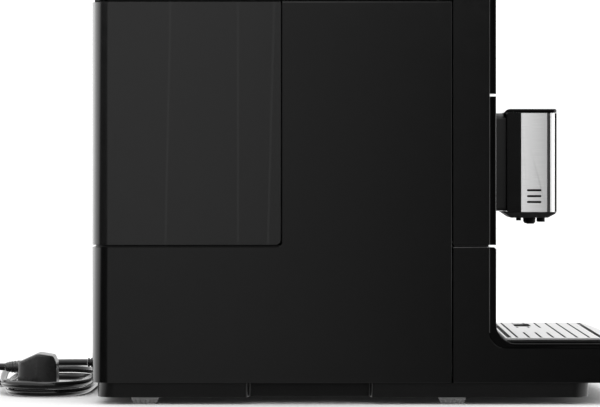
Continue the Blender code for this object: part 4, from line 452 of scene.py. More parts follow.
neck_profile = [(0, neck_start), (neck_radii[0], neck_start), (neck_radii[0], rib_places[0])]
neck_profile += ribs(rib_places, neck_radii,
                     ((0, 0.0003), (0, 0.0013), (-0.0007, 0.0016), (-0.0007, 0.0021)))
neck_profile += [(0.0038, plug_high[1] - 0.0006), (0.0031, plug_high[1]), (0.0, plug_high[1])]
plug_neck = fitted("plug_neck", plug_black, "housing", "plug_rubber",
                   turned(neck_profile, (neck_mouth[0], 0, neck_mouth[2]), "Y"))
pin_root, pin_tip = plug_low[0] + shell_length - 0.0010, plug_high[0]
pin_profile = [(0, pin_root), (0.0034, pin_root), (0.0034, pin_root + 0.0014),
               (0.0024, pin_root + 0.0017), (0.0024, pin_tip - 0.0016), (0.0020, pin_tip - 0.0006),
               (0.0011, pin_tip - 0.0001), (0, pin_tip)]
pin_half_pitch = 0.0095
pin_height = 0.0110
nickel = metal("pin_nickel", 0.72, 0.20, (30, 1, 1))
plug_pins = fitted("plug_pins", nickel, "housing", "bright_steel",
                   *[turned(pin_profile, (0, shell_middle_y + side, pin_height), "X", 24)
                     for side in (-pin_half_pitch, pin_half_pitch)])

# The strain relief. A soft ribbed sleeve holds the lead where it leaves the notch in the rear
# panel, and grows thinner outwards so that the lead bends in a wide curve.
low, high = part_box("strain_relief")
rib_count = 7
rib_pitch = (high[1] - low[1] - 0.0040) / rib_count
boot_profile = [(0, low[1]), (0.0046, low[1]), (0.0047, low[1] + 0.0036)]
boot_profile += ribs(low[1] + 0.0040 + rib_pitch * np.arange(rib_count),
                     0.0048 - 0.0010 * np.arange(rib_count) / rib_count,
                     ((-0.0008, 0), (-0.0008, rib_pitch * 0.3), (0, rib_pitch * 0.4),
                      (-0.0001, rib_pitch * 0.9)))
boot_profile += [(0.0034, high[1] - 0.0002), (0.0031, high[1]), (0, high[1])]
boot = fitted("strain_boot", sheath, "housing", "cord_rubber",
              turned(boot_profile, (exit_point[0], 0, exit_point[2]), "Y"))
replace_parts(boot, "strain_relief")

# The plinth and feet. One black moulded base with finger grips at both sides, and four square
# toothed feet of grey rubber pressed into it. Screws in deep holes hold it from below.
def smoothing():
    """A node group that smooths every face and keeps edges sharper than 32 degrees."""
    group = bpy.data.node_groups.new("smoothing", "GeometryNodeTree")
    for way in ("INPUT", "OUTPUT"):
        group.interface.new_socket("Geometry", in_out=way, socket_type="NodeSocketGeometry")
    entry = group.nodes.new("NodeGroupInput")
    faces = wired(group, "GeometryNodeSetShadeSmooth", {"Geometry": entry.outputs[0]})
    angle = group.nodes.new("GeometryNodeInputMeshEdgeAngle").outputs["Unsigned Angle"]
    flat = wired(group, "FunctionNodeCompare", {"A": angle, "B": math.radians(32)})
    flat.operation = "LESS_THAN"
    edges = wired(group, "GeometryNodeSetShadeSmooth",
                  {"Geometry": faces.outputs[0], "Shade Smooth": flat.outputs[0]})
    edges.domain = "EDGE"
    wired(group, "NodeGroupOutput", {0: edges.outputs[0]})
    return group


smooth_group = smoothing()


def dress(names, finish, edge=0.0003, segments=3, clamped=True):
    """A finish for CAD nodes, with smooth shading. Their edges are broken by a small round, or by
    a flat where there is one segment."""
    for name in names.split():
        wear(node[name], finish)
        added = node[name].modifiers
        added.new("weld", "WELD").merge_threshold = 0.00002
        if edge:
            rounder = added.new("edge", "BEVEL")
            rounder.width = edge
            rounder.segments = segments
            rounder.limit_method = "ANGLE"
            rounder.angle_limit = math.radians(40)
            rounder.use_clamp_overlap = clamped
        added.new("smooth", "NODES").node_group = smooth_group
        added.new("flats", "WEIGHTED_NORMAL").keep_sharp = True


def screws(name, finish, places, facing, radius=0.0032, height=0.0018, slot="bright_steel"):
    """Pan-head screws in the housing that face + or - along an axis. A head's rows are shares
    of its radius, of its height and of its radius again for the six lobes of the recess."""
    shares = np.array([(0, 0.25, 0), (0.40, 0.25, 0.072), (0.46, 0.90, 0.0828), (0.62, 1, 0),
                       (0.80, 0.93, 0), (0.93, 0.72, 0), (1, 0.40, 0), (1, 0, 0), (0, 0, 0)])
    head = shares * (radius, -height if facing[0] == "-" else height, radius)
    fitted(name, finish, "housing", slot,
           *[turned(head, place, facing[1], 36, lobes=6) for place in places])


dress("base_plinth", plastic("plinth_plastic", 0.003, 0.30, 0.28, 0.0010, 0.00001), 0.0012)
dress("foot_front_left foot_front_right foot_rear_left foot_rear_right",
      plastic("foot_rubber", 0.30, 0.75, 0.3, 0.0005, 0.00005), 0.0004)
zinc = metal("zinc_screw", 0.50, 0.30, (1, 1, 1), 0.0009)
black_zinc = metal("black_screw", 0.10, 0.35, (1, 1, 1), 0.0009)
plinth_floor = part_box("base_plinth")[0][2]
screws("base_screws", zinc, [(x, y, plinth_floor) for x in (-0.104, 0.104)
                             for y in (-0.150, -0.030, 0.110, 0.195)], "-Z", 0.0030, 0.0012)

# The side panels. Steel sheet in a satin black coat wraps round the rear corners; the left
# panel is cut away round the water tank.
casing_black = plastic("casing_coat", 0.0015, 0.155, 0.50, 0.0005, 0.000002)
dress("side_panel_left side_panel_right", casing_black, 0.0002, 1)

# The rear panel. A black sheet with two columns of vents, eight screws along its edges and a
# louvre behind each vent that keeps drips out.
rear_black = plastic("rear_coat", 0.0055, 0.42, 0.40, 0.0007, 0.00001)
dress("rear_panel", rear_black, 0.0003, 2)
rear_low, rear_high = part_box("rear_panel")
rear_places = ((-0.088, 0.030), (-0.088, 0.112), (0.088, 0.045), (0.088, 0.165), (0.088, 0.312),
               (-0.036, 0.312), (-0.036, 0.165), (0.026, 0.030))
screws("rear_screws", black_zinc, [(x, rear_high[1], z) for x, z in rear_places], "+Y",
       slot="rear_black")
lower_seam, upper_seam = 0.1271, 0.3232
vent_low = lower_seam + 0.0529
vent_pitch = (upper_seam - lower_seam) * 0.0408
vent_half = 0.0175
blade = np.array([(-0.0002, 0.0034), (-0.0008, 0.0036), (-0.0060, 0.0003), (-0.0060, -0.0003),
                  (-0.0054, -0.0003), (-0.0008, 0.0026), (-0.0002, 0.0028)])
blades = []
for column_x in (0.003, 0.047):
    for row in range(12):
        ends = [np.column_stack([np.full(len(blade), column_x + side), rear_low[1] + blade[:, 0],
                                 vent_low + vent_pitch * row + blade[:, 1]])
                for side in (-vent_half, vent_half)]
        blades.append(skin(ends, around=True, caps=True))
fitted("vent_louvres", rear_black, "housing", "rear_black", *blades)

# The chassis and the tank bay. Bulkhead, shelf and partition are one moulding in grey plastic.
# The bay that the tank stands in is black, with the seat of the tank's valve in its floor.
dress("chassis_frame", plastic("chassis_plastic", 0.085, 0.52, 0.35, 0.0010, 0.00002), 0.0003, 2)
dress("tank_bay", plastic("bay_black", 0.0050, 0.50, 0.25, 0.0010, 0.00002), 0.0003, 2)

# The water tank. One deep box of smoked clear plastic with rounded rear corners. Faint light
# stripes in its colour are painted highlights along ribs inside its wall, and a spring valve under
# its floor opens in the seat.
smoked = Finish("smoked_plastic", 0.17, specular=0.55)
smoked.rough(smoked.noise(0.01), 0.15, 0.19)
smoked.bumps(smoked.noise(0.012), 0.00001)
smoked.set("Coat Weight", 0.15).set("Coat Roughness", 0.05)


def stripe(finish, top, bottom, half):
    """1 on the line from one point (y, z) to another on the side of a part, 0 beside it: the
    distance is | y - b z - a |, with b the line's lean and a where it meets the floor."""
    lean = (top[0] - bottom[0]) / (top[1] - bottom[1])
    across = wired(finish.tree, "ShaderNodeVectorMath", {0: finish.place, 1: (0, 1, -lean)})
    across.operation = "DOT_PRODUCT"
    away = maths(finish.tree, "SUBTRACT", across.outputs["Value"], bottom[0] - lean * bottom[1])
    return finish.between(maths(finish.tree, "ABSOLUTE", away), 1.0, 0.0, half * 0.4, half)


def total(finish, factors):
    """The sum of several factors, held between 0 and 1."""
    whole = factors[0]
    for factor in factors[1:]:
        whole = maths(finish.tree, "ADD", whole, factor, held=True)
    return whole


# Where the painted highlights of the inner ribs run, each from its top (y, z) to its bottom.
rib_highlight_lines = (((0.1500, 0.3200), (0.1540, 0.1300)), ((0.0960, 0.3200), (0.0960, 0.1300)),
             ((0.0670, 0.3200), (0.0720, 0.1300)))
painted_rib_highlights = total(smoked, [stripe(smoked, top, bottom, 0.0011) for top, bottom in rib_highlight_lines])
smoked.colours(painted_rib_highlights, 0.0050, 0.0110, 0.0, 1.0)
dress("water_tank", smoked, 0.00015)

# The strainer. A white cage with upright ribs snaps over the valve on the tank's floor and
# keeps scale out of the pump.
moulded_white = plastic("moulded_white", 0.55, 0.45, 0.4, 0.0009, 0.00001)
tank_low, tank_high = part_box("water_tank")
valve_length, floor_thickness = 0.0030, 0.0030
tank_floor = tank_low[2] + valve_length + floor_thickness
cage = [(0, 0, 0), (0.0120, 0, 0), (0.0120, 0.0012, 0), (0.0100, 0.0016, 0.0004),
        (0.0098, 0.0120, 0.0004), (0.0088, 0.0140, 0), (0.0040, 0.0150, 0), (0, 0.0150, 0)]
fitted("tank_strainer", moulded_white, "tank", "brew_white",
       turned(cage, (*((tank_low + tank_high).xy / 2), tank_floor), "Z", 96, lobes=16))

# The tank lid and the top cover. Black satin mouldings whose outer edges are rounded, level
# with each other on top. The lid turns on a pin through two ears of the tank.
dress("tank_lid top_cover", casing_black, 0.0003)
dress("tank_lid_pin", nickel, 0)

# The cup rest. A brushed steel plate let into the top cover, with pressed grooves that drain
# spilt drops.
dress("cup_rest", metal("cup_rest_steel", 0.62, 0.30, (60, 1, 1)), 0.0003)

# The bean hopper and its lid. A smoked hopper hangs by its flange below a gloss black lid on a
# steel pin, with three raised ribs in the scoop where a finger lifts it.
hopper_smoked = moulded("hopper_smoked", ((0.030, 0.027, 0.024), (0.040, 0.036, 0.032)),
                        (0.14, 0.24), 0.55, (0.03, 0.012, 0.015), 0.00001)
dress("bean_hopper", hopper_smoked, 0.0004)
gloss_black = moulded("gloss_black", (0.0012, 0.0018), (0.05, 0.08), 0.3, (0.05, 0.03, 0.02),
                      0.000002)
dress("hopper_lid", gloss_black, 0.0003)
dress("hopper_lid_pin", nickel, 0)
lid_low, lid_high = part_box("hopper_lid")
lid_middle = (lid_low + lid_high) / 2
turn = np.linspace(0, math.pi, 9)
grip_rib = np.column_stack([0.0005 * np.sin(turn), -0.0090 * np.cos(turn)])
grip_pitch = 0.0016
fitted("lid_grip_ribs", gloss_black, "lid_of_hopper", "gloss_black",
       *[turned(grip_rib, (lid_middle[0], lid_low[1] + grip_pitch * i, lid_middle[2] + 0.0001),
                "X", 12) for i in (1, 2, 3)])


# The grind knob. A ridged black knob in the cover, with a pale pointer line on the ridge and
# seven printed dots of growing size round it, from fine to coarse.
def block(low, high, radius, axis="Z", edge=0.0003):
    """A box with rounded corners: its outline lies at four levels along the axis, and is drawn
    in by the edge at the first and the last."""
    low, high = np.array(low, dtype=float), np.array(high, dtype=float)
    a, b, c = {"X": (1, 2, 0), "Y": (0, 2, 1), "Z": (0, 1, 2)}[axis]
    ring = filleted([(low[a], low[b]), (high[a], low[b]), (high[a], high[b]), (low[a], high[b])],
                    radius)
    middle = (low + high)[[a, b]] / 2
    small = middle + (ring - middle) * (1 - 2 * edge / (high - low)[[a, b]])
    grid = np.empty((4, len(ring), 3))
    grid[:, :, [a, b]] = np.stack([small, ring, ring, small])
    grid[:, :, c] = np.array((low[c], low[c] + edge, high[c] - edge, high[c]))[:, None]
    return skin(grid, around=True, caps=True)


dress("grind_knob", plastic("knob_plastic", 0.012, 0.35, 0.5, 0.0007, 0.00001), 0.0003)
knob_low, knob_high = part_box("grind_knob")
knob_x, knob_y = (knob_low + knob_high).xy / 2
printed = plastic("printed_white", 0.62, 0.5, 0.3, 0.0004, 0.000003)
fitted("knob_pointer", printed, "grinder_setting", "knob_plastic",
       block((knob_x - 0.0004, knob_y + 0.0035, knob_high[2] - 0.0001),
             (knob_x + 0.0004, knob_y + 0.0112, knob_high[2] + 0.00008), 0.0003, "Z", 0.00004))
dot_circle = 0.0165
cover_top = 0.3590
dots = []
for i in range(7):
    angle = math.radians(90 + 120 - 40 * i)
    size = 0.00035 + 0.00012 * i
    dots.append(turned([(0, -0.00005), (size, -0.00005), (size, 0.00003), (size * 0.8, 0.00006),
                        (0, 0.00006)],
                       (knob_x + dot_circle * math.cos(angle),
                        knob_y + dot_circle * math.sin(angle), cover_top), "Z", 20))
fitted("grind_dots", printed, "housing", "knob_plastic", *dots)

# The grinder. A steel motor with two bands and through bolts carries a black housing, held by
# four screws. A ring burr is pressed into it and the cone burr turns inside.
dress("grinder_motor", metal("motor_steel", 0.42, 0.34, (1, 1, 40), 0.0006), 0.0005)
dress("grinder_housing", plastic("grinder_black", 0.020, 0.50, 0.4, 0.0009, 0.00002), 0.0005)
burr_steel = metal("burr_steel", 0.50, 0.24, (1, 1, 8), 0.0004)
dress("ring_burr", burr_steel, 0.0002)
mill_x, mill_y = 0.0390, 0.1440
motor_low, motor_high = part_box("grinder_motor")
motor_radius = (motor_high[0] - motor_low[0]) / 2
fitted("motor_bands", zinc, "housing", "motor_steel",
       *[turned([(motor_radius - 0.0004, z), (motor_radius + 0.0005, z + 0.0002),
                 (motor_radius + 0.0005, z + 0.0048), (motor_radius - 0.0004, z + 0.0050)],
                (mill_x, mill_y, 0), "Z", 64, ring=True)
         for z in (motor_low[2] + 0.0080, motor_high[2] - 0.0150)])
bolt_foot, bolt_head = motor_low[2] + 0.0020, motor_high[2] - 0.0040
bolt_profile = [(0, bolt_foot), (0.0016, bolt_foot), (0.0016, bolt_head),
                (0.0030, bolt_head + 0.0001), (0.0030, bolt_head + 0.0021), (0, bolt_head + 0.0022)]
bolt_circle = motor_radius + 0.0010
fitted("motor_bolts", zinc, "housing", "bright_steel",
       *[turned(bolt_profile, (mill_x + bolt_circle * math.cos(a),
                               mill_y + bolt_circle * math.sin(a), 0), "Z", 16)
         for a in (math.pi / 4, 5 * math.pi / 4)])
screw_circle = 0.0335
screw_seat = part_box("grinder_housing")[1][2] - 0.0002
screws("grinder_screws", zinc,
       [(mill_x + screw_circle * math.cos(a), mill_y + screw_circle * math.sin(a), screw_seat)
        for a in math.pi / 4 * np.array((1, 3, 5, 7))], "+Z", 0.0030, 0.0018)


def carved(levels, centre, count, depth):
    """Levels of (r, h, c) round Z, with a cut d of the height and the share of a turn where c is
    1: (r - c d) cos t, (r - c d) sin t, h."""
    turn = np.linspace(0, math.tau, count, endpoint=False)
    radius, height, cut = np.array(levels).T[:, :, None]
    out = radius - cut * depth(height, turn / math.tau)
    return skin(np.stack([centre[0] + out * np.cos(turn), centre[1] + out * np.sin(turn),
                          np.repeat(height, count, axis=1)], axis=-1), around=True)


def flute(height, share):
    """Twelve flutes: the square of a saw tooth, turned a little further with the height."""
    return 0.0013 * np.mod(12 * share + 60 * (height - cone_base), 1) ** 2


burr_low, burr_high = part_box("cone_burr")
cone_base = 0.2159
cone_levels = [(0, burr_low[2], 0), (0.0040, burr_low[2], 0), (0.0040, cone_base - 0.0004, 0),
               (0.0160, cone_base, 0)]
cone_levels += [(0.0180 - 0.0050 * s, cone_base + (burr_high[2] - cone_base) * s, 1)
                for s in np.linspace(0.02, 1, 14)]
cone_levels += [(0.0062, burr_high[2], 0), (0.0040, burr_high[2] - 0.0030, 0),
                (0, burr_high[2] - 0.0030, 0)]
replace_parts(fitted("fluted_cone", burr_steel, "burr", "motor_steel",
                   carved(cone_levels, (mill_x, mill_y), 192, flute), smooth=24), "cone_burr")

# The brew unit. A grey frame screwed to the bulkhead holds a white cylinder. A dark piston
# with two silicone rings is run up and down by a threaded spindle that a gear wheel turns.
dress("brew_unit_frame", plastic("brew_frame_grey", 0.16, 0.48, 0.4, 0.0009, 0.00002), 0.0004)
dress("brew_cylinder", moulded_white, 0.0004)
dress("brew_piston", plastic("piston_dark", 0.020, 0.42, 0.4, 0.0008, 0.00001), 0.0004)
silicone_red = plastic("seal_silicone", (0.36, 0.09, 0.05), 0.55, 0.4, 0.0006, 0.00001)
piston_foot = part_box("brew_piston")[0][2]
brew_y = -0.0274
seal_radius, seal_thickness = 0.01845, 0.0009
turn = np.linspace(0, math.tau, 12, endpoint=False)
seal_profile = np.column_stack([seal_radius + seal_thickness / 2 * np.cos(turn),
                                seal_thickness / 2 * np.sin(turn)])
fitted("piston_seal", silicone_red, "press", "hose_silicone",
       *[turned(seal_profile, (0, brew_y, piston_foot + z), "Z", 64, ring=True)
         for z in (0.0040, 0.0080)])
spindle_low, spindle_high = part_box("brew_spindle")
spindle_x, spindle_y = 0.0360, -0.0354
spindle_radius = 0.0040
thread_pitch = 0.0030
thread_from = 0.1455


def thread(height, share):
    """A flat-topped wave of the height over the pitch less the share of a turn."""
    wave = np.abs(np.mod(height / thread_pitch - share, 1) - 0.5) * 2
    return 0.0007 * np.clip((wave - 0.25) * 2, 0, 1)


spindle_levels = [(0, spindle_low[2], 0), (0.0036, spindle_low[2], 0),
                  (spindle_radius, spindle_low[2] + 0.0004, 0),
                  (spindle_radius, thread_from - 0.0006, 0)]
spindle_levels += [(spindle_radius, z, 1)
                   for z in np.linspace(thread_from, spindle_high[2] - 0.0010, 360)]
spindle_levels += [(0.0032, spindle_high[2], 0), (0, spindle_high[2], 0)]
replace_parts(fitted("threaded_spindle", nickel, "press_screw", "bright_steel",
                   carved(spindle_levels, (spindle_x, spindle_y), 20, thread), smooth=50),
            "brew_spindle")


def gear(teeth, outer, depth, centre, low, high):
    """A spur gear: each tooth is a trapezium on the rim, four points to a tooth, carried up."""
    turn = math.tau * (np.arange(teeth)[:, None] + np.array((0, 0.16, 0.50, 0.66))).ravel() / teeth
    rim = np.tile((outer - depth, outer, outer, outer - depth), teeth)
    bore = np.full(len(rim), 0.0036)
    grid = [np.column_stack([centre[0] + out * np.cos(turn), centre[1] + out * np.sin(turn),
                             np.full(len(turn), z)])
            for out, z in ((bore, low), (rim, low), (rim, high), (bore, high))]
    return skin(grid, around=True, along=True)


gear_low = spindle_low[2] + 0.0032
fitted("drive_gear", moulded_white, "press_screw", "bright_steel",
       gear(12, 0.0105, 0.0018, (spindle_x, spindle_y), gear_low, gear_low + 0.0080))
frame_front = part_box("brew_unit_frame")[0][1]
screws("brew_frame_screws", zinc, [(x, frame_front, z) for x in (-0.0545, 0.0545)
                                   for z in (0.150, 0.285)], "-Y", 0.0028, 0.0014)

# The boiler, pump and hose. A steel boiler in two bands, with a thermostat on it, lies along the
# base, a brown vibration pump in a steel yoke beside it. A hose with two clips joins them.
dress("boiler", metal("boiler_steel", 0.52, 0.32, (1, 40, 1), 0.0005), 0.0004)
dress("pump", plastic("pump_brown", (0.110, 0.070, 0.035), 0.42, 0.4, 0.0008, 0.00001), 0.0004)
boiler_x, boiler_z, pump_x, pump_z = -0.0600, 0.0512, 0.0300, 0.0392
fitted("boiler_bands", zinc, "housing", "boiler_steel",
       *[turned([(0.0268, y), (0.0279, y + 0.0003), (0.0279, y + 0.0057), (0.0268, y + 0.0060)],
                (boiler_x, 0, boiler_z), "Y", 64, ring=True) for y in (0.0740, 0.1180)])
thermostat_y = 0.0990
fitted("boiler_thermostat", nickel, "housing", "bright_steel",
       turned([(0, 0.0262), (0.0085, 0.0262), (0.0085, 0.0282), (0.0070, 0.0286), (0.0070, 0.0330),
               (0.0064, 0.0336), (0, 0.0336)], (boiler_x, thermostat_y, boiler_z)),
       *[block((boiler_x - 0.0004, y - 0.0024, boiler_z + 0.0330),
               (boiler_x + 0.0004, y + 0.0024, boiler_z + 0.0410), 0.0002, "X", 0.0001)
         for y in (thermostat_y - 0.0040, thermostat_y + 0.0040)])
pump_low, pump_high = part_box("pump")
pump_front, pump_rear = 0.0560, 0.1323
quarter_length = (pump_rear - pump_front) / 4
yoke_half = 0.0172
fitted("pump_yoke", zinc, "housing", "bright_steel",
       *[block((pump_x - yoke_half, pump_front + y, pump_low[2]),
               (pump_x + yoke_half, pump_front + y + 0.0014, pump_high[2]), 0.0030, "Y", 0.0002)
         for y in (quarter_length - 0.0016, 3 * quarter_length + 0.0002)])


def sweep(points, radius, count):
    """A round tube along a path that never stands upright: p + r (s cos t + u sin t), where s
    is level and square to the path and u is square to both."""
    way = np.gradient(points, axis=0)
    way /= np.linalg.norm(way, axis=1)[:, None]
    side = np.cross(way, (0.0, 0.0, 1.0))
    side /= np.linalg.norm(side, axis=1)[:, None]
    up = np.cross(side, way)
    turn = np.linspace(0, math.tau, count, endpoint=False)[:, None]
    out = side[:, None] * np.cos(turn) + up[:, None] * np.sin(turn)
    return skin(points[:, None] + radius * out, around=True, caps=True)


hose_start = np.array((pump_x, 0.1385, pump_z))
hose_end = np.array((boiler_x, 0.1525, boiler_z))
straight = np.array((0, 0.0060, 0))
reach = np.array((0, 0.0400, 0))
hose_path = np.concatenate([hose_start[None],
                            curve_between(hose_start + straight, hose_start + straight + reach,
                                          hose_end + straight + reach, hose_end + straight, 48),
                            hose_end[None]])
clear_hose = moulded("hose_silicone", ((0.52, 0.50, 0.46), (0.62, 0.60, 0.56)), (0.30, 0.42),
                     0.5, (0.01, 0.006, 0.003), 0.00001)
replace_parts(fitted("silicone_hose", clear_hose, "housing", "hose_silicone",
                   sweep(hose_path, 0.0032, 20)), "pump_hose")
fitted("hose_clips", zinc, "housing", "bright_steel",
       *[turned([(0.0031, end[1] + 0.0018), (0.0037, end[1] + 0.0019), (0.0037, end[1] + 0.0047),
                 (0.0031, end[1] + 0.0048)], (end[0], 0, end[2]), "Y", 32, ring=True)
         for end in (hose_start, hose_end)])

# The control board. Green laminate stands upright beside the pump. It carries a processor, two
# small chips, a relay, three capacitors in cans and a row of white plugs along its top edge.
dress("control_board",
      plastic("board_laminate", (0.006, 0.060, 0.022), 0.38, 0.5, 0.0012, 0.00001), 0.0002)
board_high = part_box("control_board")[1]
board_face = board_high[0] - 0.0016
chip_black = plastic("chip_black", 0.012, 0.45, 0.4, 0.0005, 0.000005)
fitted("board_chips", chip_black, "housing", "grinder_black",
       *[block((board_face - thick, y, z), (board_face, y + wide, z + tall), 0.0006, "X", 0.0002)
         for thick, y, z, wide, tall in ((0.0016, 0.0790, 0.0760, 0.0140, 0.0140),
                                         (0.0030, 0.1040, 0.0800, 0.0100, 0.0070),
                                         (0.0030, 0.1200, 0.0700, 0.0070, 0.0100),
                                         (0.0160, 0.0720, 0.0300, 0.0180, 0.0220))])
fitted("board_capacitors", nickel, "housing", "bright_steel",
       *[turned([(0, board_face), (0.0060, board_face), (0.0060, board_face - 0.0110),
                 (0.0056, board_face - 0.0120), (0, board_face - 0.0120)], (0, y, 0.0760), "X", 28)
         for y in (0.1420, 0.1570, 0.1720)])
fitted("board_plugs", moulded_white, "housing", "brew_white",
       *[block((board_face - 0.0090, 0.0740 + 0.0230 * i, board_high[2] - 0.0110),
               (board_face, 0.0900 + 0.0230 * i, board_high[2] - 0.0030), 0.0006, "X", 0.0003)
         for i in range(5)])

# The door. A satin black frame hangs on two steel hinges at the right, whose leaves are
# screwed to the bulkhead. The gloss black plates are bonded to its front.
dress("door_frame", casing_black, 0.0003, 1, False)
dress("door_hinge_lower door_hinge_upper",
      metal("hinge_steel", 0.48, 0.30, (1, 1, 20), 0.0005), 0.0002, 2)
leaf_x = 0.1105
hinge_places = []
for name in ("door_hinge_lower", "door_hinge_upper"):
    low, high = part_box(name)
    hinge_places += [(leaf_x, high[1] - 0.0020, (low[2] + high[2]) / 2 + z)
                     for z in (-0.0085, 0.0085)]
screws("hinge_screws", zinc, hinge_places, "-Y", 0.0024, 0.0011)
dress("control_fascia middle_fascia", gloss_black, 0.0003, 1)
smoked_lens = moulded("smoked_lens", ((0.0016, 0.0017, 0.0022), (0.0022, 0.0023, 0.0030)),
                      (0.03, 0.05), 0.35, (0.04, 0.02, 0.02), 0.000001)
dress("display_lens", smoked_lens, 0.0002)

# The painted highlight lines of the door. A thin light grey strip in the seam between the frame and
# the gloss plates shows as a fine line down both sides: a painted highlight for the light caught on
# the edges there.
painted_highlight_grey = plastic("painted_highlight_grey", 0.085, 0.40, 0.4, 0.0008, 0.00001)


def painted_highlight_lines(name, body, low_z, high_z):
    """Two upright light grey strips in the seam behind the gloss plates, at the left and right
    side: painted highlights of the edges there.
    """
    outer, inner = half_width - 0.0002, half_width - 0.0012
    fitted(name, painted_highlight_grey, body, "chassis_grey",
           *[block((low_x, plate_rear, low_z), (high_x, plate_rear + 0.0003, high_z), 0.00005, "Z",
                   0.00003) for low_x, high_x in ((-outer, -inner), (inner, outer))])


plate_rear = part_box("middle_fascia")[1][1]
door_low, door_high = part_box("door_frame")
painted_highlight_lines("door_painted_highlight_lines", "door", door_low[2] + 0.0006, door_high[2] - 0.0020)

# The seals of the door. A black rubber strip sits in the foot of the frame, and its lip stops just
# above the drawer. A second strip is stuck up the left side of the bulkhead and stops just behind
# the door. They keep splashes out of the joints. They are also dark strips put there as painted
# shade, so that the joints read dark and no light shows through them.
drawer_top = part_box("drawer_shell")[1][2]
seal_and_shade_rubber = plastic("seal_and_shade_rubber", 0.006, 0.55, 0.25, 0.0010, 0.00002)
fitted("door_seal_and_shade", seal_and_shade_rubber, "door", "cord_rubber",
       block((door_low[0] + 0.0015, door_low[1] + 0.0006, drawer_top + 0.0003),
             (door_high[0] - 0.0015, door_high[1] - 0.0008, door_low[2] + 0.0002),
             0.0003, "X", 0.0002))
bulkhead_low, bulkhead_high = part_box("chassis_frame")
fitted("bulkhead_seal_and_shade", seal_and_shade_rubber, "housing", "cord_rubber",
       block((bulkhead_low[0] + 0.0030, door_high[1] + 0.0004, door_low[2] + 0.0030),
             (bulkhead_low[0] + 0.0080, bulkhead_low[1] + 0.0001, bulkhead_high[2] - 0.0030),
             0.0008, "Z", 0.0004))

# The power button. A turned steel cap whose face is lightly domed, with the open ring and the
# stroke of the common on and off sign let into it.
dress("power_button", metal("button_steel", 0.58, 0.22, (1, 1, 1), 0.0005), 0.0002)
low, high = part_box("power_button")
button_x, button_z = (low[0] + high[0]) / 2, (low[2] + high[2]) / 2
face_y = low[1]
sign_radius, sign_line = 0.0024, 0.00022
gap_angle = math.radians(32)
sign_turn = np.linspace(math.pi / 2 + gap_angle, math.pi / 2 - gap_angle + math.tau, 49)
ring_turn = np.linspace(0, math.tau, 8, endpoint=False)
out = sign_radius + sign_line * np.cos(ring_turn)
sign_ring = np.stack([button_x + out * np.cos(sign_turn)[:, None],
                      face_y + 0.00006 * np.sin(ring_turn) + 0 * sign_turn[:, None],
                      button_z + out * np.sin(sign_turn)[:, None]], axis=-1)
fitted("button_sign", gloss_black, "button", "gloss_black", skin(sign_ring, around=True, caps=True),
       block((button_x - sign_line, face_y - 0.00006, button_z + 0.0010),
             (button_x + sign_line, face_y + 0.00006, button_z + 0.0030), 0.0002, "Y", 0.00002))

# The spout. A satin black carriage slides up and down on the front. The head on it is a dark
# box with brushed steel cheeks, a bright strip round its front corners with a dark line behind
# it, a gloss pane and a gloss cap.
dress("spout_slider spout_keeper",
      plastic("slider_satin", 0.0090, 0.30, 0.50, 0.0005, 0.000004), 0.0005)
dress("spout_body", plastic("spout_black", 0.0030, 0.24, 0.25, 0.0006, 0.000004), 0.0003)
chin_black = plastic("chin_black", 0.0022, 0.50, 0.10, 0.0008, 0.00001)
dress("spout_base", chin_black, 0.0003)
cheek_steel = Finish("cheek_steel", 0.38, metallic=0.15, specular=0.5)
lines = cheek_steel.noise(0.00022, (1, 60, 1), 6.0)
# Painted highlight: the brushed sheet's colour is pale in place of the steel's reflection, and
# lighter towards its rear edge where it catches the light. Fine brushed lines add to it.
split = wired(cheek_steel.tree, "ShaderNodeSeparateXYZ", {"Vector": cheek_steel.place})
painted_rear_highlight = cheek_steel.between(split.outputs["Y"], 0.0, 0.8, -0.1592, -0.1385)
grain_and_painted_highlight = total(cheek_steel, [painted_rear_highlight, cheek_steel.between(lines, 0.0, 0.2)])
cheek_steel.colours(grain_and_painted_highlight, 0.50, 0.98, 0, 1)
cheek_steel.rough(lines, 0.34, 0.44)
cheek_steel.bumps(lines, 0.000004)
dress("spout_cheek_left spout_cheek_right", cheek_steel, 0.0002, 2)
bright = moulded("bright_trim", (0.93, 0.97), (0.18, 0.26), 0.6, (0.004, 0.002, 0.0008), 0.000002)
bright.set("Metallic", 0.1)
dress("spout_trim", bright, 0.0002, 2)
dress("spout_pane spout_cap", gloss_black, 0.0003)
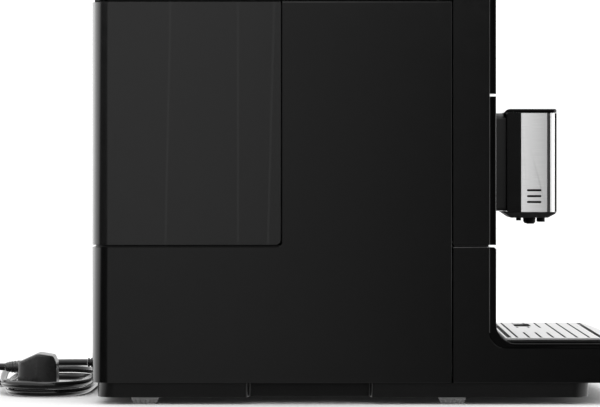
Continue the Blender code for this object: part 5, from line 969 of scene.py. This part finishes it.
low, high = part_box("spout_cheek_left")
trim_front, trim_rear = -0.16165, -0.15940
# Thin dark grey strips stand down both sides between the cheeks and the bright trim.
dark_strip_grey = plastic("dark_strip_grey", 0.034, 0.40, 0.35, 0.0006, 0.000004)
fitted("trim_dark_strips", dark_strip_grey, "spout", "spout_black",
       *[block((x - 0.00008, trim_front, low[2]), (x + 0.00008, trim_rear, high[2]), 0.00005, "Z",
               0.00002) for x in (-0.0330, 0.0330)])

# The nozzles. Two coffee nozzles screw into the chin, with knurled rims; the two milk stubs
# and the water stub are one with it.
dress("coffee_nozzle_left coffee_nozzle_right", chin_black, 0.0002)
for hand in ("left", "right"):
    low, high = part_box(f"coffee_nozzle_{hand}")
    rim = [(0.00428, high[2] - 0.0012, 0), (0.00445, high[2] - 0.0011, 0.00010),
           (0.00445, high[2] - 0.0003, 0.00010), (0.00428, high[2] - 0.0002, 0)]
    fitted(f"nozzle_rim_{hand}", chin_black, "spout", "spout_black",
           turned(rim, (*((low + high).xy / 2), 0), "Z", 120, True, 30))

# The drawer. A satin black shell slides out with the curved gloss plate on its front. In it
# stand the pan and, behind, the box for the spent grounds.
dress("drawer_shell", casing_black, 0.0003, 1, False)
dress("lower_fascia", gloss_black, 0.0003, 1)
# The drawer's plate gets the same painted highlight lines down its seams.
painted_highlight_lines("drawer_painted_highlight_lines", "drawer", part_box("lower_fascia")[0][2] + 0.0120,
           drawer_top - 0.0008)
dress("tray_pan", plastic("pan_grey", 0.060, 0.42, 0.4, 0.0010, 0.00001), 0.0004)
dress("grounds_container", plastic("grounds_black", 0.018, 0.50, 0.4, 0.0009, 0.00002), 0.0004)
dress("drip_insert", plastic("insert_black", 0.010, 0.55, 0.35, 0.0008, 0.00001), 0.0002, 2)

# The drip plate. Brushed stainless sheet with punched slots across it, a finger hole by the
# edge and a bare field in the middle. It lies loose on the insert and lifts out.
dress("drip_plate", metal("drip_plate_steel", 0.66, 0.34, (60, 1, 1)), 0.0002, 2)

low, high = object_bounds()
